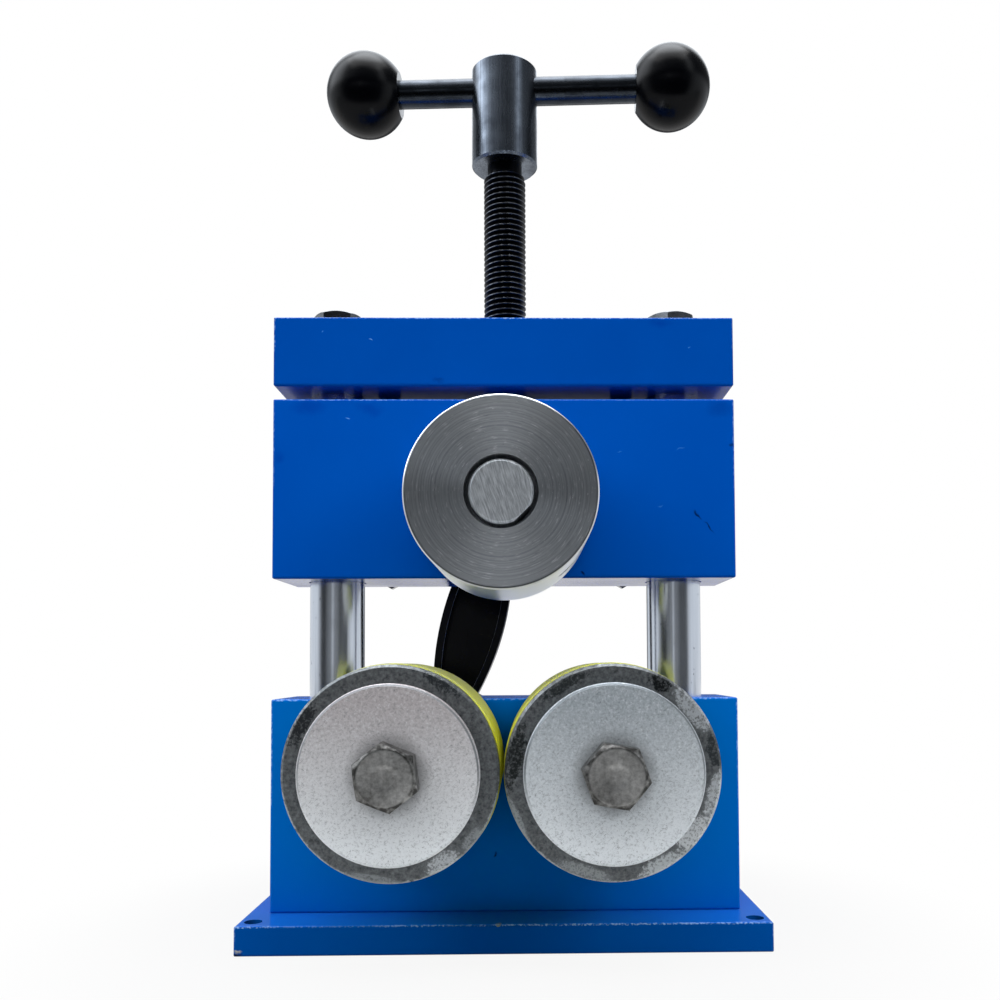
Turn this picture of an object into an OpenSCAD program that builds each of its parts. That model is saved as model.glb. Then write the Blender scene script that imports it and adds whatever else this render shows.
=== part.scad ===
// Bench ring bending machine: a fixed lower block carries two tyred rollers, and a
// slider on two guide rods carries a cranked roller that a hand screw presses down.
// Millimetres. X runs along the work, Y away from the operator and Z up.
// The origin is the middle of the underside of the base plate.

/* [Blocks] */
// Width of the lower block, the slider and the top plate
block_w = 165; // [155:1:190]
// Depth of the lower block, the slider and the top plate
block_d = 38; // [36:1:46]
// Height of the lower block
block_h = 74.5; // [70:0.5:90]
// Height of the slider
slider_h = 64.4; // [60:0.2:80]
// Thickness of the top plate
plate_t = 25; // [20:1:32]
// Height of the opening between the lower block and the raised slider
work_gap = 42.6; // [40:0.2:60]
// Gap between the raised slider and the top plate
lift_gap = 4.7; // [4.6:0.1:12]
// Radius of the rounded edges of the painted blocks
edge_r = 0.9; // [0.6:0.1:2]

/* [Base plate] */
// Thickness of the base plate
base_t = 10; // [8:0.5:16]
// How far the base plate stands out past each side of the block
base_side = 7.5; // [5:0.5:20]
// How far the base plate stands out past the front and the back of the block
base_front = 17; // [14:0.5:30]
// Diameter of the corner mounting holes
mount_d = 6; // [5:0.5:7]
// Middle of a mounting hole from the side edge of the base plate
mount_side = 5; // [4.5:0.5:7]
// Middle of a mounting hole from the front or back edge of the base plate
mount_front = 6; // [5:0.5:8]
// Thread diameter of the countersunk screws that hold the block to the base plate
foot_d = 8; // [6:1:10]
// Distance between the two screws that hold the block to the base plate
foot_pitch = 50; // [40:1:60]
// Length of the screws that hold the block to the base plate
foot_len = 34; // [24:1:40]

/* [Guide rods] */
// Diameter of the guide rods
rod_d = 20; // [18:0.5:22]
// Axis of a guide rod from the side of the blocks
rod_inset = 19.75; // [18:0.25:22]
// Depth to which the rods stand in the lower block
rod_foot = 58; // [40:1:62]
// Depth to which the rods enter the top plate
rod_seat = 4; // [2:0.5:8]
// Wall of the guide bushes in the slider
guide_wall = 2.5; // [2:0.25:3]
// Length of one guide bush
guide_len = 22; // [16:1:28]
// Thickness of the lip below the guide bushes
guide_lip = 2; // [1:0.5:4]
// Thread diameter of the countersunk bolts that hold the rods from below
rod_bolt_d = 10; // [8:1:12]
// Depth of the rod bolts in the rods
rod_bolt_grip = 24; // [16:1:30]

/* [Axle and plate bolts] */
// Thread diameter of the axle bolts
bolt_d = 12; // [10:0.5:12]
// Width across the flats of the axle bolts
bolt_af = 18; // [16:0.5:20]
// Height of the axle bolt heads
bolt_head = 7.5; // [6:0.5:9]
// Depth of the axle bolts in the lower block
axle_grip = 28; // [20:1:32]
// Thread diameter of the top plate bolts
plate_bolt_d = 10; // [8:0.5:12]
// Width across the flats of the top plate bolts
plate_bolt_af = 17; // [13:0.5:19]
// Height of the top plate bolt heads
plate_bolt_head = 6.4; // [5:0.1:8]
// Depth of the top plate bolts in the rods
plate_bolt_grip = 22; // [16:1:30]

/* [Lower rollers] */
// Diameter of the tyres
tyre_d = 66.7; // [60:0.1:68]
// Gap between the two tyres
tyre_gap = 0.7; // [0.6:0.1:4]
// Axis of the lower rollers below the top of the lower block
axle_drop = 20.9; // [16:0.1:26]
// Width of a lower roller over its cheek
roller_lower_w = 48; // [40:1:56]
// Diameter of the front cheek of a lower roller
cheek_d = 65.9; // [58:0.1:66]
// Thickness of the front cheek
cheek_t = 6; // [4:0.5:8]
// Diameter of the hub core under the tyre
core_d = 50; // [46:0.5:54]
// Diameter of the sleeve that the lower roller turns on
sleeve_d = 20; // [18:0.5:22]
// Wall of the bushes in the lower rollers
hub_bush_wall = 3; // [2:0.5:4]
// Length of one bush in a lower roller
hub_bush_len = 16; // [12:1:18]
// Diameter of the retaining disc in front of a lower roller
disc_d = 54.6; // [48:0.1:56]
// Thickness of the retaining disc
disc_t = 4.5; // [3:0.5:6]
// Outer diameter of the thrust washers
thrust_d = 34; // [30:0.5:38]
// Thickness of the thrust washers
thrust_t = 1.6; // [1:0.1:2.5]

/* [Upper roller] */
// Diameter of the upper roller
roller_d = 60; // [54:0.5:64]
// Width of the upper roller
roller_w = 50; // [42:1:58]
// Diameter of the roller shaft
shaft_d = 20; // [18:0.5:22]
// Axis of the shaft above the underside of the slider
shaft_rise = 21.9; // [21:0.1:24]
// Depth of the flat on the shaft for the roller's set screw
shaft_flat = 0.7; // [0.5:0.1:2]
// Turn of the flat and its set screw about the shaft, in degrees
flat_angle = -45; // [-90:5:0]
// Radial gap between the shaft and the open mouth of the roller's bore
mouth_gap = 1.5; // [0.5:0.1:3]
// Depth of the open mouth of the roller's bore
mouth_depth = 8; // [2:0.5:8]
// Thread diameter of the set screw in the upper roller
set_d = 8; // [6:1:10]
// Wall of the shaft bushes in the slider
shaft_bush_wall = 4; // [3:0.5:5]
// Length of one shaft bush
shaft_bush_len = 16; // [12:1:17]

/* [Rear bearing plate] */
// Height of the rear bearing plate
rear_h = 52; // [48:0.5:56]
// Thickness of the rear bearing plate
rear_t = 8; // [6:0.5:12]
// Lower edge of the rear bearing plate above the underside of the slider
rear_margin = 1.4; // [1:0.1:4]
// Middle of a rear bolt from the axis of the nearer guide rod
rear_bolt_inset = 16.25; // [16:0.25:18]
// Middle of a rear bolt from the side edge of the rear bearing plate
rear_bolt_side = 7.5; // [6:0.5:10]
// Middle of a rear bolt from the upper or lower edge of the rear bearing plate
rear_bolt_edge = 6; // [5.5:0.1:8]
// Thread diameter of the rear bolts
rear_bolt_d = 8; // [6:1:8]
// Width across the flats of the rear bolts
rear_bolt_af = 13; // [11:0.5:14]
// Height of the heads of the rear bolts
rear_bolt_head = 5.3; // [4:0.1:6]
// Depth of the rear bolts in the slider
rear_bolt_grip = 12; // [8:1:12]

/* [Feed screw] */
// Outer diameter of the feed screw thread
screw_d = 15.8; // [14:0.1:18]
// Height of the tee hub's underside above the top plate
screw_out = 64; // [55:0.1:90]
// Diameter of the plain end of the screw under the tee hub
screw_end_d = 13; // [12:0.1:14]
// Length of the plain end of the screw under the tee hub
screw_end_len = 8.5; // [4:0.5:12]
// Diameter of the neck that the keeper holds
neck_d = 11; // [9:0.5:12]
// Diameter of the collar below the neck
collar_d = 17; // [15:0.5:19]
// Thickness of the collar
collar_t = 6; // [4:0.5:8]
// Thickness of the thrust pad below the screw
pad_t = 3; // [2:0.5:4]
// Thickness of the keeper plate
keeper_t = 6; // [4:0.5:8]
// Width of the keeper plate from front to back
keeper_d = 24; // [22:0.5:28]
// Thread diameter of the keeper screws
keeper_screw_d = 5; // [4:0.5:5]
// Height of the keeper screw heads
keeper_head = 4.2; // [3:0.1:4.2]

/* [Tee handle] */
// Diameter of the tee hub
tee_d = 24.8; // [22:0.1:28]
// Height of the tee hub
tee_h = 37.8; // [32:0.1:44]
// Axis of the tommy bar below the top of the tee hub
bar_drop = 7.8; // [6.5:0.1:10]
// Diameter of the tommy bar
bar_d = 10; // [8:0.5:11]
// Distance between the middles of the two ball knobs
ball_span = 115.8; // [90:0.2:160]
// How far the bar is pushed through the hub to the right
bar_shift = 5; // [-10:0.5:10]
// Turn of the bar about the screw, in degrees
bar_turn = -3; // [-90:0.1:90]
// Diameter of the ball knobs
ball_d = 30.4; // [26:0.1:36]
// Diameter of the stub at the top of the screw inside the tee hub
stub_d = 12; // [10:0.5:13]

/* [Crank] */
// Distance from the shaft to the axis of the grip
crank_len = 80; // [70:1:84]
// Turn of the crank from straight down, in degrees
crank_angle = 14.7; // [0:0.1:359]
// Greatest width of the crank arm
arm_w = 25.6; // [22:0.2:30]
// Radius of the curved sides of the crank arm
arm_curve = 115; // [90:1:160]
// How far the crank arm bows out to one side of the line from shaft to grip
arm_bow = 4.9; // [0:0.1:5]
// Distance from the shaft to the widest place of the crank arm
arm_mid = 37.5; // [34:0.5:44]
// Thickness of the crank arm
arm_t = 13; // [10:0.5:18]
// Width of the rim round the hollow side of the crank arm
arm_rim = 3; // [2:0.25:4]
// Depth of the hollow side of the crank arm
arm_hollow = 7; // [4:0.5:8]
// Diameter of the crank boss on the shaft
boss_d = 34; // [30:0.5:40]
// Diameter of the crank boss at the grip
grip_boss_d = 24; // [20:0.5:28]
// Diameter of the shaft end inside the crank
seat_d = 16; // [14:0.5:17]
// Largest diameter of the grip
grip_d = 26; // [22:0.5:32]
// Diameter of the grip at its two ends
grip_end_d = 20; // [18:0.5:21]
// Length of the grip
grip_len = 72; // [60:1:100]
// Diameter of the spindle that the grip turns on
spindle_d = 9; // [8:0.5:10]

/* [Clearances] */
// Radial clearance of pieces that are fixed to each other
fit_gap = 0.02; // [0.01:0.01:0.05]
// Radial clearance of pieces that turn or slide on each other
run_gap = 0.05; // [0.02:0.01:0.1]
// Clearance round the heads of countersunk screws
sink_gap = 0.1; // [0.05:0.01:0.3]
// Radial clearance of the feed screw in its thread
thread_gap = 0.1; // [0.05:0.01:0.1]
// Free play left at each end of a turning piece
end_float = 0.4; // [0.3:0.05:0.8]
// Axial play of the feed screw's collar
collar_play = 0.1; // [0.05:0.05:0.3]
// Radial space round turning pieces that touch nothing
free_gap = 0.5; // [0.4:0.1:1]

/* [Hidden] */
$fn = 64;
// How far a cut runs past the face that it opens
past = 1;
// Depth of a thread hole past the end of its screw
drill = 2;
// Chamfer on large and on small turned pieces
edge_chamfer = 0.8;
fine_chamfer = 0.3;
// Flat crown of a hexagon head, as a share of its width across the flats
crown_share = 0.89;
// Hexagon socket of a screw, as a share of its thread diameter
socket_share = 0.58;
// Turns of the hexagon heads about their axes, in degrees
axle_bolt_turns = [38, 50];
plate_bolt_turns = [6, 16];
rear_bolt_turn = 30;

FRONT = -block_d / 2;
BACK = block_d / 2;

block_top = base_t + block_h;
slider_z = block_top + work_gap;
slider_top = slider_z + slider_h;
plate_z = slider_top + lift_gap;
plate_top = plate_z + plate_t;

base_w = block_w + 2 * base_side;
base_d = block_d + 2 * base_front;
rod_x = block_w / 2 - rod_inset;
rod_z = block_top - rod_foot;
guide_r = rod_d / 2 + guide_wall;

axle_x = (tyre_d + tyre_gap) / 2;
axle_z = block_top - axle_drop;
roller_back = FRONT - thrust_t - end_float;
cheek_front = roller_back - roller_lower_w;
disc_back = cheek_front - end_float;
hub_bush_r = sleeve_d / 2 + hub_bush_wall;

shaft_z = slider_z + shaft_rise;
shaft_bush_r = shaft_d / 2 + shaft_bush_wall;
roller_front = roller_back - roller_w;
set_y = roller_back - roller_w / 2;
set_sink = 2;

rear_back = BACK + rear_t;
rear_z = slider_z + rear_margin;
rear_bolt_x = rod_x - rear_bolt_inset;
rear_w = 2 * (rear_bolt_x + rear_bolt_side);

pocket_wall = 2;
keeper_w = 2 * (rod_x - guide_r - pocket_wall);
keeper_z = slider_top - keeper_t;
keeper_head_over = 3.5;
keeper_head_d = keeper_screw_d + keeper_head_over;
keeper_edge = 0.4;
keeper_screw_x = keeper_w / 2 - keeper_head_d / 2 - keeper_edge;
keeper_screw_grip = 14;
keeper_screw_len = keeper_t + keeper_screw_grip;
chamber_r = collar_d / 2 + free_gap;
chamber_z = keeper_z - collar_t - pad_t - 2 * collar_play;
neck_top = slider_top + free_gap;

tee_z = plate_top + screw_out;
tee_top = tee_z + tee_h;
bar_z = tee_top - bar_drop;
stub_wall = 3;
stub_top = bar_z - bar_d / 2 - stub_wall;
ball_land = 3;
ball_flat = sqrt(pow(ball_d / 2, 2) - pow(bar_d / 2 + ball_land, 2));
bar_hold = 11;
hub_set_d = 6;
hub_set_sink = 1;

boss_y = rear_back + end_float;
arm_clear = 2;
arm_y = rear_back + rear_bolt_head + arm_clear;
arm_back = arm_y + arm_t;
boss_rise = 4;
boss_back = arm_back + boss_rise;
crank_hold_d = 8;
crank_hold_head = 5.3;
crank_washer_d = 24;
crank_washer_t = 2;
crank_hold_len = crank_washer_t + boss_back - boss_y - boss_rise;
grip_gap = 0.6;
grip_y = arm_back + grip_gap;
spindle_head_d = 14;
spindle_head_t = 4;
spindle_foot_d = 7;
spindle_wall = 2;
spindle_foot_len = arm_t - spindle_wall;

BLUE = [0.0, 0.29, 0.6];
STEEL = [0.62, 0.63, 0.64];
DARK_STEEL = [0.3, 0.31, 0.31];
ZINC = [0.7, 0.69, 0.66];
CHROME = [0.82, 0.83, 0.85];
BLACK = [0.07, 0.07, 0.08];
YELLOW = [0.72, 0.74, 0.3];
BRONZE = [0.72, 0.52, 0.28];

// Rectangle with round corners, centred
module round_rect(w, h, r) {
    square([w - 2 * r, h], center = true);
    square([w, h - 2 * r], center = true);
    for (x = [-1, 1], y = [-1, 1])
        translate([x * (w / 2 - r), y * (h / 2 - r)]) circle(r);
}

// Block with all edges rounded, standing on z = 0
module round_block(w, d, h, r) {
    intersection() {
        linear_extrude(h) round_rect(w, d, r);
        translate([0, d / 2, h / 2]) rotate([90, 0, 0]) linear_extrude(d) round_rect(w, h, r);
        translate([-w / 2, 0, h / 2]) rotate([90, 0, 90]) linear_extrude(w) round_rect(d, h, r);
    }
}

// Places a piece drawn along +Z so that it points at the operator from y
module toward(x, y, z) {
    translate([x, y, z]) rotate([90, 0, 0]) children();
}

// Places a piece drawn along +Z so that it points away from the operator from y
module away(x, y, z) {
    translate([x, y, z]) rotate([-90, 0, 0]) children();
}

// Ring with a chamfer on both outer edges
module ring(r_in, r_out, h, chamfer) {
    rotate_extrude() polygon([
        [r_in, 0], [r_out - chamfer, 0], [r_out, chamfer],
        [r_out, h - chamfer], [r_out - chamfer, h], [r_in, h]
    ]);
}

// Hexagon bolt with its head on z = 0 and its shank below
module hex_bolt(d, af, head, length, turn) {
    corner = af / 2 / cos(30);
    crown = af / 2 * crown_share;
    rotate([0, 0, turn]) intersection() {
        cylinder(r = corner, h = head, $fn = 6);
        rotate_extrude() polygon([
            [0, 0], [corner + past, 0], [corner + past, head - (corner + past - crown) * tan(30)],
            [crown, head], [0, head]
        ]);
    }
    translate([0, 0, -length]) cylinder(d = d, h = length);
}

// Countersunk screw with its head flush with z = 0 and pointing up
module sunk_screw(d, length) {
    cylinder(d1 = 2 * d, d2 = d, h = d / 2);
    cylinder(d = d, h = length);
}

// Space for a countersunk screw
module sunk_hole(d, length) {
    translate([0, 0, -sink_gap]) cylinder(d1 = 2 * d + 4 * sink_gap, d2 = d + 2 * sink_gap, h = d / 2 + sink_gap);
    cylinder(d = d + 2 * fit_gap, h = length + past);
}

// Puts a copy on each guide rod's axis
module at_rods() {
    for (side = [-1, 1]) translate([side * rod_x, 0, 0]) children();
}

// Puts a copy on each axis of the screws under the block
module at_feet() {
    for (side = [-1, 1]) translate([side * foot_pitch / 2, 0, 0]) children();
}

// Puts a copy on each axis of the rear bolts, pointing away from the operator
module at_rear_bolts(y) {
    for (side = [-1, 1], rise = [rear_bolt_edge, rear_h - rear_bolt_edge])
        away(side * rear_bolt_x, y, rear_z + rise) children();
}

// Frame

module base_plate() {
    color(BLUE) difference() {
        round_block(base_w, base_d, base_t, edge_r);
        for (x = [-1, 1], y = [-1, 1])
            translate([x * (base_w / 2 - mount_side), y * (base_d / 2 - mount_front), -past])
                cylinder(d = mount_d, h = base_t + 2 * past);
        at_feet() sunk_hole(foot_d, base_t);
        at_rods() sunk_hole(rod_bolt_d, base_t);
    }
}

module lower_block() {
    color(BLUE) difference() {
        translate([0, 0, base_t]) round_block(block_w, block_d, block_h, edge_r);
        at_feet() cylinder(d = foot_d + 2 * fit_gap, h = foot_len + drill);
        at_rods() {
            cylinder(d = rod_bolt_d + 2 * fit_gap, h = block_top);
            translate([0, 0, rod_z]) cylinder(d = rod_d + 2 * fit_gap, h = rod_foot + past);
        }
        for (side = [-1, 1])
            away(side * axle_x, FRONT - past, axle_z)
                cylinder(d = bolt_d + 2 * fit_gap, h = axle_grip + drill + past);
    }
}

module foot_screws() {
    color(DARK_STEEL) at_feet() sunk_screw(foot_d, foot_len);
}

module rod_bolts() {
    color(DARK_STEEL) at_rods() sunk_screw(rod_bolt_d, rod_z + rod_bolt_grip);
}

module guide_rod(side) {
    rod_top = plate_z + rod_seat;
    color(CHROME) translate([side * rod_x, 0, 0]) difference() {
        translate([0, 0, rod_z]) ring(0, rod_d / 2, rod_top - rod_z, edge_chamfer);
        translate([0, 0, rod_z - past])
            cylinder(d = rod_bolt_d + 2 * fit_gap, h = rod_bolt_grip + drill + past);
        translate([0, 0, rod_top - plate_bolt_grip - drill])
            cylinder(d = plate_bolt_d + 2 * fit_gap, h = plate_bolt_grip + drill + past);
    }
}

module top_plate() {
    color(BLUE) difference() {
        translate([0, 0, plate_z]) round_block(block_w, block_d, plate_t, edge_r);
        translate([0, 0, plate_z - past]) cylinder(d = screw_d + 2 * thread_gap, h = plate_t + 2 * past);
        at_rods() {
            translate([0, 0, plate_z - past]) cylinder(d = rod_d + 2 * fit_gap, h = rod_seat + past);
            translate([0, 0, plate_z]) cylinder(d = plate_bolt_d + 2 * free_gap, h = plate_t + past);
        }
    }
}

module top_plate_bolts() {
    reach = plate_t - rod_seat + plate_bolt_grip;
    sides = [-1, 1];
    color(DARK_STEEL) for (i = [0, 1]) translate([sides[i] * rod_x, 0, plate_top])
        hex_bolt(plate_bolt_d, plate_bolt_af, plate_bolt_head, reach, plate_bolt_turns[i]);
}

// Lower rollers and their fixed axles

module axle_sleeve(side) {
    color(STEEL) toward(side * axle_x, FRONT, axle_z)
        ring(bolt_d / 2 + fit_gap, sleeve_d / 2, FRONT - disc_back, fine_chamfer);
}

module thrust_washer(side) {
    color(BRONZE) toward(side * axle_x, FRONT, axle_z)
        ring(sleeve_d / 2 + fit_gap, thrust_d / 2, thrust_t, fine_chamfer);
}

module retaining_disc(side) {
    color(ZINC) toward(side * axle_x, disc_back, axle_z)
        ring(bolt_d / 2 + fit_gap, disc_d / 2, disc_t, edge_chamfer);
}

module axle_bolt(side, turn) {
    head_y = disc_back - disc_t;
    color(STEEL) toward(side * axle_x, head_y, axle_z)
        hex_bolt(bolt_d, bolt_af, bolt_head, FRONT - head_y + axle_grip, turn);
}

module roller_hub(side) {
    bore_r = hub_bush_r + fit_gap;
    cheek_z = roller_lower_w - cheek_t;
    color(DARK_STEEL) toward(side * axle_x, roller_back, axle_z) rotate_extrude() polygon([
        [bore_r, 0], [core_d / 2, 0], [core_d / 2, cheek_z], [cheek_d / 2, cheek_z],
        [cheek_d / 2, roller_lower_w - edge_chamfer], [cheek_d / 2 - edge_chamfer, roller_lower_w],
        [bore_r, roller_lower_w]
    ]);
}

module roller_tyre(side) {
    color(YELLOW) toward(side * axle_x, roller_back, axle_z)
        ring(core_d / 2 + fit_gap, tyre_d / 2, roller_lower_w - cheek_t, edge_chamfer);
}

module roller_bushes(side) {
    color(BRONZE) for (z = [0, roller_lower_w - hub_bush_len])
        toward(side * axle_x, roller_back - z, axle_z)
            ring(sleeve_d / 2 + run_gap, hub_bush_r, hub_bush_len, fine_chamfer);
}

// Slider

module slider_block() {
    color(BLUE) difference() {
        translate([0, 0, slider_z]) round_block(block_w, block_d, slider_h, edge_r);
        at_rods() {
            translate([0, 0, slider_z - past]) cylinder(d = rod_d + 2 * free_gap, h = guide_lip + 2 * past);
            translate([0, 0, slider_z + guide_lip]) cylinder(r = guide_r + fit_gap, h = slider_h);
        }
        away(0, FRONT - past, shaft_z) cylinder(r = shaft_bush_r + fit_gap, h = block_d + 2 * past);
        translate([-keeper_w / 2 - fit_gap, -keeper_d / 2 - fit_gap, keeper_z])
            cube([keeper_w + 2 * fit_gap, keeper_d + 2 * fit_gap, keeper_t + past]);
        translate([0, 0, chamber_z]) cylinder(r = chamber_r, h = keeper_z - chamber_z + past);
        for (side = [-1, 1])
            translate([side * keeper_screw_x, 0, slider_top - keeper_screw_len - drill])
                cylinder(d = keeper_screw_d + 2 * fit_gap, h = keeper_screw_len + drill);
        at_rear_bolts(BACK - rear_bolt_grip - drill)
            cylinder(d = rear_bolt_d + 2 * fit_gap, h = rear_bolt_grip + drill + past);
    }
}

module guide_bushes(side) {
    color(BRONZE) for (z = [slider_z + guide_lip, slider_top - guide_len])
        translate([side * rod_x, 0, z]) ring(rod_d / 2 + run_gap, guide_r, guide_len, fine_chamfer);
}

module shaft_bush(y) {
    color(BRONZE) away(0, y, shaft_z)
        ring(shaft_d / 2 + run_gap, shaft_bush_r, shaft_bush_len, fine_chamfer);
}

module shaft_thrust_washer() {
    color(BRONZE) toward(0, FRONT, shaft_z)
        ring(shaft_d / 2 + run_gap, thrust_d / 2, thrust_t, fine_chamfer);
}

module rear_bearing_plate() {
    color(DARK_STEEL) difference() {
        translate([0, BACK + rear_t / 2, rear_z]) round_block(rear_w, rear_t, rear_h, edge_r);
        away(0, BACK - past, shaft_z) cylinder(d = shaft_d + 2 * free_gap, h = rear_t + 2 * past);
        at_rear_bolts(BACK - past) cylinder(d = rear_bolt_d + 2 * fit_gap, h = rear_t + 2 * past);
    }
}

module rear_plate_bolts() {
    color(DARK_STEEL) at_rear_bolts(rear_back)
        hex_bolt(rear_bolt_d, rear_bolt_af, rear_bolt_head, rear_t + rear_bolt_grip, rear_bolt_turn);
}

module screw_keeper() {
    slot_r = neck_d / 2 + free_gap;
    color(STEEL) difference() {
        translate([-keeper_w / 2, -keeper_d / 2, keeper_z]) cube([keeper_w, keeper_d, keeper_t]);
        translate([0, 0, keeper_z - past]) {
            cylinder(r = slot_r, h = keeper_t + 2 * past);
            translate([-slot_r, 0, 0]) cube([2 * slot_r, keeper_d, keeper_t + 2 * past]);
            for (side = [-1, 1])
                translate([side * keeper_screw_x, 0, 0])
                    cylinder(d = keeper_screw_d + 2 * fit_gap, h = keeper_t + 2 * past);
        }
    }
}

module keeper_screws() {
    color(BLACK) for (side = [-1, 1]) translate([side * keeper_screw_x, 0, slider_top]) {
        translate([0, 0, -keeper_screw_len]) cylinder(d = keeper_screw_d, h = keeper_screw_len);
        difference() {
            ring(0, keeper_head_d / 2, keeper_head, fine_chamfer);
            translate([0, 0, keeper_head / 2])
                cylinder(d = keeper_head_d * socket_share, h = keeper_head, $fn = 6);
        }
    }
}

module thrust_pad() {
    color(BRONZE) translate([0, 0, chamber_z]) ring(0, chamber_r - fit_gap, pad_t, fine_chamfer);
}

// Driven roller, shaft and crank

// Cuts everything on the outer side of a flat on the shaft
module flat_cut(r, depth, length) {
    translate([r - depth, -r, 0]) cube([2 * r, 2 * r, length]);
}

module roller_shaft() {
    seat_len = boss_back - boss_y - end_float;
    color(STEEL) difference() {
        union() {
            away(0, roller_front, shaft_z) ring(0, shaft_d / 2, boss_y - roller_front, edge_chamfer);
            away(0, boss_y - past, shaft_z) cylinder(d = seat_d, h = seat_len + past);
        }
        toward(0, roller_back, shaft_z) rotate([0, 0, flat_angle])
            flat_cut(shaft_d / 2, shaft_flat, roller_w + past);
        away(0, boss_y, shaft_z) rotate([0, 0, crank_angle + 90])
            flat_cut(seat_d / 2, shaft_flat, seat_len + past);
        toward(0, boss_back + past, shaft_z)
            cylinder(d = crank_hold_d + 2 * fit_gap, h = crank_hold_len + drill);
    }
}

module upper_roller() {
    color(STEEL) difference() {
        toward(0, roller_back, shaft_z) ring(shaft_d / 2 + fit_gap, roller_d / 2, roller_w, edge_chamfer);
        toward(0, roller_front + mouth_depth, shaft_z)
            cylinder(r = shaft_d / 2 + mouth_gap, h = mouth_depth + past);
        translate([0, set_y, shaft_z]) rotate([0, 90 - flat_angle, 0])
            cylinder(d = set_d + 2 * fit_gap, h = roller_d);
    }
}

module roller_set_screw() {
    foot = shaft_d / 2 - shaft_flat + fit_gap;
    head = roller_d / 2 - set_sink;
    color(BLACK) translate([0, set_y, shaft_z]) rotate([0, 90 - flat_angle, 0]) difference() {
        translate([0, 0, foot]) cylinder(d = set_d, h = head - foot);
        translate([0, 0, head - set_d / 2]) cylinder(d = set_d * socket_share, h = set_d, $fn = 6);
    }
}

// Lens with arc sides, inset from the outline of the crank arm
module arm_lens(inset) {
    offset_x = arm_curve - arm_w / 2;
    intersection_for(side = [-1, 1])
        translate([side * offset_x - arm_bow, arm_mid]) circle(arm_curve - inset, $fn = 128);
}

module crank_arm() {
    color(BLACK) away(0, 0, shaft_z) rotate([0, 0, crank_angle]) difference() {
        union() {
            translate([0, 0, arm_y]) linear_extrude(arm_t) arm_lens(0);
            translate([0, 0, boss_y]) ring(0, boss_d / 2, boss_back - boss_y, edge_chamfer);
            translate([0, crank_len, arm_y]) ring(0, grip_boss_d / 2, arm_t, edge_chamfer);
        }
        translate([0, 0, arm_y - past]) linear_extrude(arm_hollow + past) difference() {
            arm_lens(arm_rim);
            circle(d = boss_d);
            translate([0, crank_len]) circle(d = grip_boss_d);
        }
        translate([0, 0, boss_y - past]) difference() {
            cylinder(d = seat_d + 2 * fit_gap, h = boss_back - boss_y + 2 * past);
            rotate([0, 0, 90]) flat_cut(seat_d / 2, shaft_flat - fit_gap, boss_back);
        }
        translate([0, crank_len, arm_back - spindle_foot_len - fit_gap])
            cylinder(d = spindle_foot_d + 2 * fit_gap, h = spindle_foot_len + past);
    }
}

module crank_washer() {
    color(ZINC) away(0, boss_back, shaft_z)
        ring(crank_hold_d / 2 + free_gap, crank_washer_d / 2, crank_washer_t, fine_chamfer);
}

module crank_bolt() {
    color(ZINC) away(0, boss_back + crank_washer_t, shaft_z)
        hex_bolt(crank_hold_d, rear_bolt_af, crank_hold_head, crank_hold_len, crank_angle);
}

// Places a piece on the axis of the grip, pointing away from the operator
module at_grip(y) {
    away(0, 0, shaft_z) rotate([0, 0, crank_angle]) translate([0, crank_len, y]) children();
}

module grip_spindle() {
    shank = grip_len - spindle_head_t + grip_y - arm_back;
    color(ZINC) at_grip(arm_back) {
        translate([0, 0, -spindle_foot_len]) cylinder(d = spindle_foot_d, h = spindle_foot_len);
        cylinder(d = spindle_d, h = shank);
        translate([0, 0, shank]) ring(0, spindle_head_d / 2, spindle_head_t, fine_chamfer);
    }
}

module crank_grip() {
    swell = (grip_d - grip_end_d) / 2;
    swell_r = (pow(grip_len / 2, 2) + pow(swell, 2)) / (2 * swell);
    color(BLACK) at_grip(grip_y) difference() {
        rotate_extrude() intersection() {
            translate([grip_d / 2 - swell_r, grip_len / 2]) circle(swell_r, $fn = 128);
            square([grip_d, grip_len]);
        }
        translate([0, 0, -past]) cylinder(d = spindle_d + 2 * run_gap, h = grip_len + 2 * past);
        translate([0, 0, grip_len - spindle_head_t - end_float])
            cylinder(d = spindle_head_d + 2 * free_gap, h = grip_len);
    }
}

// Feed screw and tee handle

module feed_screw() {
    collar_z = chamber_z + pad_t + collar_play;
    color(BLACK) {
        translate([0, 0, collar_z]) ring(0, collar_d / 2, collar_t, fine_chamfer);
        translate([0, 0, collar_z]) cylinder(d = neck_d, h = neck_top - collar_z + past);
        translate([0, 0, neck_top]) ring(0, screw_d / 2, tee_z - screw_end_len - neck_top, edge_chamfer);
        translate([0, 0, tee_z - screw_end_len - past]) cylinder(d = screw_end_d, h = screw_end_len + past);
        translate([0, 0, tee_z - past]) cylinder(d = stub_d, h = stub_top - tee_z + past);
    }
}

module tee_hub() {
    color(BLACK) difference() {
        translate([0, 0, tee_z]) ring(0, tee_d / 2, tee_h, edge_chamfer);
        translate([0, 0, tee_z - past]) cylinder(d = stub_d + 2 * fit_gap, h = stub_top - tee_z + 2 * past);
        translate([0, 0, bar_z]) rotate([0, 0, bar_turn]) rotate([0, 90, 0])
            cylinder(d = bar_d + 2 * run_gap, h = 2 * tee_d, center = true);
        away(0, stub_d / 2 - past, (tee_z + stub_top) / 2) cylinder(d = hub_set_d + 2 * fit_gap, h = tee_d);
    }
}

module hub_set_screw() {
    head = tee_d / 2 - hub_set_sink;
    foot = stub_d / 2 + fit_gap;
    color(BLACK) away(0, foot, (tee_z + stub_top) / 2) difference() {
        cylinder(d = hub_set_d, h = head - foot);
        translate([0, 0, head - foot - hub_set_d / 2]) cylinder(d = hub_set_d * socket_share, h = hub_set_d, $fn = 6);
    }
}

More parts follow.
